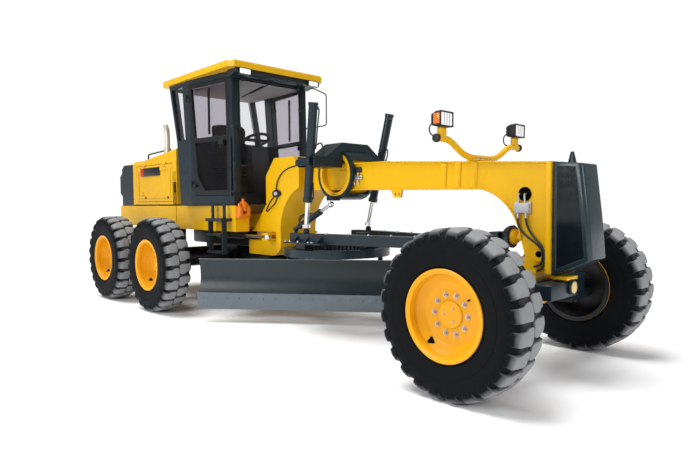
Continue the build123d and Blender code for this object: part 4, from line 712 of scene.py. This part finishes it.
# ------------------------------ front push block
# A ballast box in slate bolted to the head plate: side sheets set back in a border, a
# raked front, rounded uprights and a lifting fin. A pivot carrier hangs below.
# The box's border and front take a lighter, bluer copy of the slate: painted reflection of the sky on the
# nose. The side sheets take a darker, glossier paint.
reflection_slate = finish("push_block_reflection_slate", (0.011, 0.027, 0.034), gloss=(0.24, 0.38), grain=500,
    rounding=0.004, specular=0.4, Coat_Weight=0.1)
sheet_paint = finish("side_sheet", (0.0035, 0.0075, 0.0115), gloss=(0.1, 0.2), grain=500, bump=0.02,
    specular=0.5)
waxed = finish("waxed_cap", (0.7, 0.52, 0.22), gloss=(0.3, 0.4), dust=0.05)
box_half, box_front = 0.145, 3.9
pivot_y, pivot_z = -0.035, 0.762
tow_x, tow_z = 3.545, 1.02


def plate(form, ring, along):
    """A closed ring of points, filled and drawn out to a solid plate."""
    face = form.faces.new([form.verts.new(point) for point in ring])
    grown = bmesh.ops.extrude_face_region(form, geom=[face])["geom"]
    bmesh.ops.translate(form, vec=along, verts=[v for v in grown if isinstance(v, bmesh.types.BMVert)])
    bmesh.ops.recalc_face_normals(form, faces=form.faces)


push_form = bmesh.new()
side_outline = ((3.6605, 0.85), (3.6605, 1.778), (3.905, 1.752), (3.96, 1.32), (3.988, 1.0))
plate(push_form, [(x, -box_half, z) for x, z in side_outline], (0, 2 * box_half, 0))
front_edges = [e for e in push_form.edges if min(v.co.x for v in e.verts) > box_front
               and abs(e.verts[0].co.y - e.verts[1].co.y) < 0.01]
round_edges(push_form, front_edges, 0.034, 6)
round_edges(push_form, [e for e in push_form.edges if e.calc_face_angle(0) > radians(50)], 0.01)
sheets = [f for f in push_form.faces if abs(f.normal.y) > 0.95 and f.calc_area() > 0.05]
bmesh.ops.inset_region(push_form, faces=sheets, thickness=0.024, use_even_offset=True)
bmesh.ops.inset_region(push_form, faces=sheets, thickness=0.005, depth=-0.007, use_even_offset=True)
for face in sheets:
    face.material_index = 1
push_block = piece("push_block", push_form, reflection_slate, beam, 32)
push_block.data.materials.append(sheet_paint)
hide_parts("nose_cover")
fin_form = bmesh.new()
cone(fin_form, (0, 0, 0), (0, 0, 1), (0.04, 0.014), 0.1, -0.05, 24)
bmesh.ops.scale(fin_form, vec=(1, 0.42, 1), verts=fin_form.verts)
bmesh.ops.translate(fin_form, vec=(3.756, 0, 1.808), verts=fin_form.verts)
round_edges(fin_form, [e for e in fin_form.edges if min(v.co.z for v in e.verts) > 1.85], 0.004, 3)
piece("lifting_fin", fin_form, slate, beam, 40)
build("push_block_bolts", slate, beam, "slate_grey",
      *((bolt, (3.673, sign * (box_half - 0.001), 0.92 + 0.11 * high), (0, sign, 0), 0.012)
        for sign in (1, -1) for high in range(8)))
build("pivot_carrier", slate, beam, "slate_grey",
      (block, (3.695, -0.145, 0.742), (0.17, 0.45, 0.126), 0.012))
build("pivot_carrier_foot", yellow, beam, "body_yellow",
      (block, (3.715, -0.02, 0.834), (0.14, 0.19, 0.03), 0.008))
build("pivot_ring", black_paint, beam, "lamp_black",
      (disc, (3.778, pivot_y, pivot_z), (1, 0, 0), 0.062, 0.024, 0.008))
build("pivot_cap", waxed, beam, "body_yellow",
      (disc, (3.8, pivot_y, pivot_z), (1, 0, 0), 0.048, 0.01, 0.008))
build("tow_bosses", yellow, beam, "body_yellow", *on_plates(tow_x, tow_z, 0, 0.058, 0.01))
# The tow pin holes are near-black discs inside the bosses: painted shade.
build("tow_eyes", shade_black, beam, "tyre_rubber", *on_plates(tow_x, tow_z, 0.01, 0.028, 0.001, 0.0003))

# ------------------------------ head lamps
# Two road lamps on the arm over the beam: ribbed white lenses in black housings, an
# amber marker on each outer side, rubber caps on the arm's ends, and a cable loop.
white_lens = finish("white_lens", (0.86, 0.88, 0.9), gloss=(0.04, 0.1), dust=0.0, bump=0.3, grain=120,
    Emission_Color=(1, 1, 1, 1), Emission_Strength=0.25)
amber_lens = finish("amber_lens", (0.85, 0.18, 0.02), gloss=(0.08, 0.16), dust=0.0, bump=0.3, grain=120)
arm_x, arm_foot = 2.89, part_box("lamp_bracket")[0].z
arm_line = [(-0.65, 1.99), (-0.57, 1.994), (-0.47, 1.985), (-0.3, 1.885), (-0.19, arm_foot + 0.032),
            (-0.08, arm_foot + 0.028)]
arm_line += [(-across, high) for across, high in reversed(arm_line)]
lamp_arm = build(
    "lamp_arm", yellow, beam, "body_yellow",
    (pipe, [(arm_x, across, high) for across, high in arm_line], 0.028),
    (block, (arm_x, 0, arm_foot + 0.008), (0.11, 0.3, 0.016), 0.005),
    *((block, (arm_x, sign * 0.585, 2.04), (0.05, 0.078, 0.096), 0.01) for sign in (1, -1)), sharp=50)
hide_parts("lamp_bracket")
for side, sign in sides:
    lamp_middle = Vector((arm_x, sign * 0.59, 2.15))
    lens_form = bmesh.new()
    block(lens_form, lamp_middle + Vector((0.046, 0, 0)), (0.158, 0.108, 0.02), 0.009, (1, 0, 0))
    bmesh.ops.subdivide_edges(lens_form, edges=lens_form.edges[:], cuts=1)
    piece(f"lamp_lens_{side}", lens_form, white_lens, beam)
    bezel = (
        # forward, across, up, size, rounding
        *((0.057, across, 0, (0.003, 0.1, 0.004), 0.0012) for across in (-0.036, 0.0, 0.036)),
        *((0.054, 0, high, (0.176, 0.009, 0.014), 0.003) for high in (0.06, -0.06)),
        *((0.054, across, 0, (0.009, 0.126, 0.014), 0.003) for across in (0.084, -0.084)),
    )
    build(f"lamp_bezel_{side}", plastic, beam, "lamp_black",
          *((block, lamp_middle + Vector(shift), size, rounding, (1, 0, 0))
            for *shift, size, rounding in bezel))
    build(f"lamp_marker_{side}", amber_lens, beam, "body_yellow",
          (block, lamp_middle + Vector((0.02, sign * 0.094, 0)), (0.062, 0.012, 0.088), 0.005))
    build(f"arm_cap_{side}", hose_rubber, beam, "tyre_rubber",
          (disc, (arm_x, sign * 0.64, 1.991), (0, sign, 0), 0.036, 0.036, 0.008))
    cable = [lamp_middle + Vector(shift)
             for shift in ((-0.05, 0, -0.01), (-0.12, -0.01, -0.02), (-0.115, -0.02, -0.12))]
    cable += (2.862, sign * 0.54, 2.0), (2.866, sign * 0.48, 1.99)
    build(f"lamp_cable_{side}", hose_rubber, beam, "tyre_rubber", (pipe, cable, 0.006))
    build(f"bracket_bolts_{side}", zinc, beam, "rod_chrome",
          *((bolt, (2.93, sign * reach, arm_foot + 0.016), (0, 0, 1), 0.018) for reach in (0.05, 0.11)))

# ------------------------------ cab
# Pressed slate frame with rubber-sealed panes and black doors. The windshield has four
# clamp knobs and a wiper; two work lamps sit under the roof's front. A padded seat stands inside.
seal = finish("seal_rubber", (0.008, 0.008, 0.009), gloss=(0.5, 0.65), bump=0.1, specular=0.2)
liner = finish("headliner", (0.5, 0.5, 0.51), gloss=(0.6, 0.8), dust=0.0)
fabric = finish("seat_cloth", (0.02, 0.021, 0.024), gloss=(0.75, 0.9), grain=1500, bump=0.5,
    Sheen_Weight=0.3, Sheen_Roughness=0.4, specular=0.2)
floor_z, top_z, wall_x = 1.44, 3.115, -0.35
lean = 0.03 / (top_z - floor_z)
pane_corners = ((-0.492, 1.568), (0.492, 1.568), (0.492, 3.042), (-0.492, 3.042))
bar_width, bar_out = 0.052, 0.03
grab_y = -0.612


def front_wall(across, high, proud=0.0):
    """A point on the windshield's plane, which leans back towards the roof."""
    return Vector((wall_x - lean * (high - floor_z) + proud, across, high))


seals, bars = [], []
for (y1, z1), (y2, z2) in zip(pane_corners, pane_corners[1:] + pane_corners[:1]):
    start, end = front_wall(y1, z1, -0.004), front_wall(y2, z2, -0.004)
    seals.append((pipe, (start, (start + end) / 2, end), 0.017))
    centre, length = (start + end) / 2 + Vector((0.001, 0, 0)), Vector((0, y2 - y1, z2 - z1)).length + 0.1
    if y1 == y2:
        centre.y += bar_out if y1 > 0 else -bar_out
        bars.append((block, centre, (0.012, bar_width, length), 0.004))
    else:
        centre.z += bar_out if z1 > 2 else -bar_out
        bars.append((block, centre, (0.012, length, bar_width), 0.004))
build("windshield_seal", seal, machine, "tyre_rubber", *seals)
build("windshield_frame", black_paint, machine, "lamp_black", *bars)
knobs = []
for y, z in ((-0.44, 3.03), (0.44, 3.03), (-0.5, 2.4), (0.478, 2.74)):
    knobs += ((disc, front_wall(y, z, 0.002), (1, 0, 0), 0.03, 0.036, 0.01),
              (block, front_wall(y, z + 0.02, 0.012), (0.02, 0.04, 0.09)))
build("windshield_knobs", plastic, machine, "lamp_black", *knobs)
arm = ((0.026, 3.05, 0.02), (-0.2, 2.93, 0.045), (-0.33, 2.86, 0.022))
rubber_line = ((-0.12, 2.985, 0.008), (-0.28, 2.9, 0.006), (-0.45, 2.8, 0.008))
build("wiper", plastic, machine, "lamp_black",
      (pipe, [front_wall(*point) for point in arm], 0.007),
      (pipe, [front_wall(*point) for point in rubber_line], 0.008),
      (disc, front_wall(0.026, 3.05), (1, 0, 0), 0.026, 0.04, 0.008))
build("roof_valance", black_paint, machine, "lamp_black",
      (block, (-0.176, 0, 3.083), (0.02, 1.33, 0.062), 0.008))
build("grab_bar", slate, machine, "slate_grey",
      (pipe, [(x, grab_y, z) for x, z in (
          (-0.366, 2.42), (-0.325, 2.425), (-0.318, 2.38), (-0.312, 2.0), (-0.306, 1.64),
          (-0.308, 1.605), (-0.352, 1.605))], 0.015))
build("headliner", liner, machine, "rod_chrome",
      (block, (-1.06, 0, 3.022), (1.24, 1.06, 0.02)))
build("step_straps", slate, machine, "slate_grey",
      *((block, (strap_x, sign * 0.68, 1.352), (0.05, 0.022, 0.19), 0.005)
        for sign in (1, -1) for strap_x in (-0.735, -0.455)))
# A transmission case, made long and black to fill the dark beneath the rear frame: partly a real part,
# partly painted shade.
build("transmission_case", black_paint, machine, "engine_grey",
      (block, (-1.425, 0, 0.985), (1.59, 0.36, 0.22), 0.03),
      (disc, (-0.64, 0, 1.0), (1, 0, 0), 0.09, 0.06, 0.01))
for side, sign in sides:
    door = f"cab_door_{side}"
    build(f"work_lens_{side}", white_lens, machine, "cab_glass",
          (block, (-0.14, sign * 0.54, 3.073), (0.15, 0.062, 0.014), 0.007, (1, 0, 0)))
    build(f"sliding_window_bar_{side}", seal, door, "lamp_black",
          (block, (-0.83, sign * 0.655, 2.66), (0.026, 0.026, 0.6)))
    build(f"door_lock_{side}", plastic, door, "lamp_black",
          (block, (-0.56, sign * 0.64, 2.24), (0.11, 0.04, 0.06), 0.014),
          (disc, (-0.545, sign * 0.652, 2.18), (0, sign, 0), 0.02, 0.016))
build("roof_bolts", zinc, machine, "rod_chrome",
      *((bolt, (-0.35 - 0.28 * along, sign * 0.708, 3.2005), (0, 0, 1), 0.016)
        for along in range(6) for sign in (1, -1)))

cushions = (
    # name, middle, size, degrees that it is tipped up by
    ("seat_cushion", (-1.23, 0, 1.9305), (0.505, 0.525, 0.15), 0),
    ("seat_back", (-1.44, 0, 2.2703), (0.5, 0.665, 0.125), 83),
)
seam_across, seam_width, seam_depth = 0.62, 0.05, 0.05
edge_start, edge_tuck, waist, flat_share = 0.8, 0.1, 0.05, 0.72
for label, place, size, tipped in cushions:
    pad_form = bmesh.new()
    bmesh.ops.create_cube(pad_form, size=2)
    bmesh.ops.subdivide_edges(pad_form, edges=pad_form.edges[:], cuts=9, use_grid_fill=True)
    for corner in pad_form.verts:
        x, y, z = corner.co
        crown = (1 - x ** 4) * (1 - y ** 4)
        pull = 1 - waist * (1 - abs(z)) * (x * x + y * y) / 2
        seam = seam_depth * max(0, 1 - abs(abs(y) - seam_across) / seam_width) * (abs(z) > 0.9)
        pull *= 1 - edge_tuck * max(0, max(abs(x), abs(y)) - edge_start) / (1 - edge_start) * abs(z)
        thick = flat_share + (1 - flat_share) * crown - seam
        corner.co = Vector((x * size[0] * pull, y * size[1] * pull, z * size[2] * thick)) / 2
    if tipped:
        for degrees, axis in ((90, "Z"), (tipped, "Y")):
            bmesh.ops.rotate(pad_form, cent=(0, 0, 0), matrix=Matrix.Rotation(radians(degrees), 3, axis),
                             verts=pad_form.verts)
    bmesh.ops.translate(pad_form, vec=place, verts=pad_form.verts)
    cushion = piece(label, pad_form, fabric, machine, 60)
    softer = cushion.modifiers.new("round", "SUBSURF")
    softer.levels = softer.render_levels = 1

# ------------------------------ hood and exhaust
# Yellow doors with a bare two-tone plate, louvres and quarter-turn latches; a wedge-shaped
# cowl with hand rails on top, and the exhaust pipe with its bent end on the right.
plate_dark = finish("plate_dark", (0.01, 0.01, 0.011), gloss=(0.25, 0.35), specular=0.3)
plate_red = finish("plate_red", (0.55, 0.012, 0.01), gloss=(0.25, 0.35))
pipe_steel = finish("aluminised_pipe", (0.62, 0.6, 0.5), gloss=(0.35, 0.5), dust=0.06, bump=0.1,
    Metallic=0.55)
core_black = finish("radiator_core", (0.014, 0.014, 0.015), gloss=(0.5, 0.7), dust=0.05, grain=240,
    bump=0.9)
red_lens = finish("red_lens", (0.45, 0.006, 0.005), gloss=(0.08, 0.16), dust=0.0, bump=0.25, grain=120)
door_y, plate_z, latch_z, rail_y = 0.6045, 1.955, 1.557, 0.44
cowl_half = 0.597
stack_x, stack_y, stack_foot = -2.35, -0.5, 2.17
rail_line = ((-3.17, 2.14), (-3.17, 2.25), (-3.12, 2.262), (-2.8, 2.274), (-2.46, 2.286),
             (-2.41, 2.276), (-2.41, 2.15))
for side, sign in sides:
    door = f"hood_door_{side}"
    build(f"bare_plate_{side}", plate_dark, door, "lamp_black",
          (block, (-2.7, sign * door_y, plate_z), (0.56, 0.009, 0.13), 0.003))
    build(f"bare_plate_end_{side}", plate_red, door, "wheel_yellow",
          (block, (-3.04, sign * door_y, plate_z), (0.12, 0.009, 0.13), 0.003))
    # The louvres are near-black slots on the side: painted shade.
    build(f"side_louvres_{side}", shade_black, machine, "lamp_black",
          *((block, (-1.902 - 0.029 * slot, sign * 0.6005, 1.61), (0.015, 0.003, 0.33), 0.001)
            for slot in range(4)))
    latches = []
    for latch_x in (-2.15, -2.92):
        latches += ((disc, (latch_x, sign * 0.5985, latch_z), (0, sign, 0), 0.02, 0.012, 0.003),
                    (block, (latch_x, sign * 0.611, latch_z), (0.008, 0.01, 0.034), 0.002))
    build(f"hood_latches_{side}", hose_rubber, door, "lamp_black", *latches)
    build(f"hood_rail_{side}", black_paint, machine, "lamp_black",
          (pipe, [(x, sign * rail_y, z) for x, z in rail_line], 0.012))
    build(f"tail_lamp_{side}", red_lens, machine, "wheel_yellow",
          (block, (-3.948, sign * 0.47, 1.52), (0.09, 0.055, 0.028), 0.008, (-1, 0, 0)))
cowl_form = bmesh.new()
cowl_outline = ((-2.96, 2.1), (-2.96, 2.152), (-1.884, 2.262), (-1.884, 2.1))
plate(cowl_form, [(x, -cowl_half, z) for x, z in cowl_outline], (0, 2 * cowl_half, 0))
crown = [e for e in cowl_form.edges if min(v.co.z for v in e.verts) > 2.14
         and abs(e.verts[0].co.x - e.verts[1].co.x) > 0.1]
round_edges(cowl_form, crown, 0.03, 4)
piece("hood_cowl", cowl_form, yellow, machine)

exhaust = build(
    "exhaust_pipe", pipe_steel, machine, "edge_steel",
    (pipe, [(stack_x - back, stack_y, z) for back, z in (
        (0, stack_foot), (0, 2.35), (0, 2.5), (0.01, 2.58), (0.05, 2.64))], 0.038),
    (disc, (stack_x, stack_y, stack_foot - 0.003), (0, 0, 1), 0.078, 0.016, 0.005),
    (disc, (stack_x, stack_y, stack_foot + 0.01), (0, 0, 1), 0.052, 0.12, 0.01))
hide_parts("exhaust_stack")
# The pipe's mouth is a near-black disc: painted shade.
build("exhaust_mouth", shade_black, machine, "lamp_black",
      (disc, (stack_x - 0.051, stack_y, 2.641), (-0.55, 0, 0.84), 0.033, 0.002, 0.0005))
build("radiator_core", core_black, machine, "engine_grey",
      (block, (-3.87, 0, 1.785), (0.02, 1.06, 0.42), 0.004))

# ------------------------------ drawbar, circle and blade fixings
# A curved mouldboard with its rails and ribs behind the face, and plough bolts through its
# cutting edge. Hexagon bolts hold guides and saddle caps; hoses feed the centre shift.
blade_turn = radians(37.5)
blade_along = Vector((cos(blade_turn), sin(blade_turn), 0))
blade_across = Vector((-sin(blade_turn), cos(blade_turn), 0))
circle_middle = Vector((0.913, 0, 0))
board_start, board_length, board_foot, board_height, board_thick = -1.76, 3.66, 0.315, 0.46, 0.018
saddle_x, saddle_z, saddle_circle = 1.09, 1.78, 0.27


def blade_place(along, across, high):
    """A point given along and across the blade."""
    return circle_middle + blade_along * along + blade_across * across + Vector((0, 0, high))


def across_plate(form, section, start, length):
    """A plate section in (across, z), drawn out along the blade."""
    plate(form, [blade_place(start, *point) for point in section], blade_along * length)


def board_face(share):
    """Across and height of the curved face at a share of its height."""
    bow = 0.0735 * 4 * share * (1 - share) * (1 - 0.25 * (share - 0.35))
    return 0.05 + 0.04 * share + bow, board_foot + board_height * share


front = [board_face(step / 16) for step in range(17)]
back = [(across + board_thick, high) for across, high in reversed(front)]
rib = ((0.082, 0.33), (0.188, 0.33), (0.188, 0.6), (0.14, 0.66), (0.146, 0.6), (0.158, 0.5),
       (0.14, 0.42))
board = build(
    "mouldboard", blade_grey, "blade", "slate_grey",
    (across_plate, front + back, board_start, board_length),
    *((across_plate, ((0.15, z - 0.025), (0.19, z - 0.025), (0.19, z + 0.025), (0.15, z + 0.025)),
       -1.2, 2.4) for z in (0.33, 0.6)),
    *((across_plate, rib, middle_rib - 0.015, 0.03) for middle_rib in (-1.185, 0.0, 1.185)))
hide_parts("blade")
# A bare steel strip along the board's top edge, lighter than its paint: painted highlight of the top edge.
build("mouldboard_highlight_strip", steel, "blade", "edge_steel",
      (across_plate, ((0.086, 0.77), (0.112, 0.77), (0.112, 0.778), (0.086, 0.778)), board_start,
       board_length))
build("plough_bolts", steel, "blade", "edge_steel",
      *((disc, blade_place(-1.69 + 0.153 * step, 0.0306, 0.3), -blade_across, 0.014, 0.005, 0.002, 16)
        for step in range(24)))
guide_bolts = []
for sign in (1, -1):
    guide_bolts += ((bolt, (x, sign * 0.59, 1.026), (0, 0, 1), 0.02) for x in (0.7, 0.78, 0.92, 1.1, 1.16))
    guide_bolts += ((bolt, (1.25 + 0.26 * step, sign * (0.455 - 0.058 * step), 1.12), (0, 0, 1), 0.022)
                    for step in range(6))
build("drawbar_bolts", zinc, "drawbar", "rod_chrome", *guide_bolts)
cap_turns = [radians(degrees) for degrees in (-90, 90)]
build("saddle_bolts", zinc, beam, "rod_chrome",
      *((bolt, (saddle_x + saddle_circle * cos(turn), sign * 0.185, saddle_z + saddle_circle * sin(turn)),
         (0, sign, 0), 0.022) for sign in (1, -1) for turn in cap_turns))
shift_eye, shift_head = Vector((0.61, -0.37, 1.155)), Vector((1.085, -0.24, 1.44))
shift_axis = (shift_head - shift_eye).normalized()
shift_out = Vector((-0.3, -0.25, 1)).normalized()
shift_hoses = []
for lift, length in ((0.062, 0.3), (0.078, 0.26)):
    reaches = ((0.08, 0.5), (0.09, 1), (0.5 * length, 1.25), (length - 0.02, 1), (length, 0.5))
    line = [shift_eye + shift_axis * reach + shift_out * (lift * share) for reach, share in reaches]
    shift_hoses.append((pipe, line, 0.008))
build("shift_lines", hose_rubber, "shift_barrel", "tyre_rubber", *shift_hoses)

# ------------------------------ valves and lift cylinder lines
# An orange valve bank stands before the cab floor, on the right. Each lift cylinder has two
# slate lines down its side, a hose loop, and the pin and red plug of its gimbal.
valve_orange = finish("valve_orange", (0.8, 0.2, 0.01), dust=0.05, rounding=0.004)
valves = [(block, (-0.275, -0.52, 1.3), (0.08, 0.17, 0.06), 0.008)]
for y, z in ((-0.575, 1.36), (-0.52, 1.42), (-0.465, 1.36)):
    valves += ((block, (-0.268, y, z), (0.1, 0.046, 0.12), 0.008),
               (disc, (-0.268, y, z + 0.058), (0, 0, 1), 0.017, 0.04))
build("valve_bank", valve_orange, machine, "body_yellow", *valves)
lift_runs = (
    # along the barrel, out from its axis: down from the top port, then up from the foot port
    ((1.29, 0.046), (1.29, 0.076), (1.23, 0.074), (1.05, 0.066), (0.92, 0.066), (0.86, 0.06)),
    ((0.32, 0.046), (0.32, 0.072), (0.38, 0.068), (0.44, 0.06), (0.5, 0.056)),
)
hose_run = ((0.9, 0.066), (0.95, 0.116), (0.88, 0.156), (0.8, 0.151), (0.76, 0.106), (0.77, 0.076))
for side, sign in sides:
    eye, head = Vector((0.949, sign * 0.489, 1.199)), Vector((1.213, sign * 0.592, 2.513))
    axis, aside = (head - eye).normalized(), Vector((0.55, sign * -0.2, 0))
    outward = (aside - axis * axis.dot(aside)).normalized()
    *lines, hose = [[eye + axis * along + outward * out for along, out in run]
                    for run in (*lift_runs, hose_run)]
    build(f"lift_lines_{side}", slate, f"lift_barrel_{side}", "slate_grey",
          *((pipe, line, 0.0075) for line in lines),
          *((block, eye + axis * reach + outward * 0.05, (0.03, 0.03, 0.034), 0.005, axis)
            for reach in (1.29, 0.32)))
    gimbal = eye + (head - eye) * 0.533
    ahead = [gimbal - Vector((reach, 0, 0)) for reach in (0.06, 0.205, 0.225)]
    build(f"gimbal_pin_{side}", slate, f"lift_yoke_{side}", "slate_grey",
          (disc, ahead[0], (-1, 0, 0), 0.043, 0.15, 0.012),
          (disc, ahead[1], (-1, 0, 0), 0.03, 0.02, 0.006), (bolt, ahead[2], (-1, 0, 0), 0.02))
    build(f"gimbal_plug_{side}", plate_red, f"lift_yoke_{side}", "wheel_yellow",
          (disc, gimbal + Vector((-0.13, sign * 0.042, 0)), (0, sign, 0), 0.011, 0.012, 0.003, 16))
    build(f"lift_hose_{side}", hose_rubber, f"lift_barrel_{side}", "tyre_rubber", (pipe, hose, 0.008))
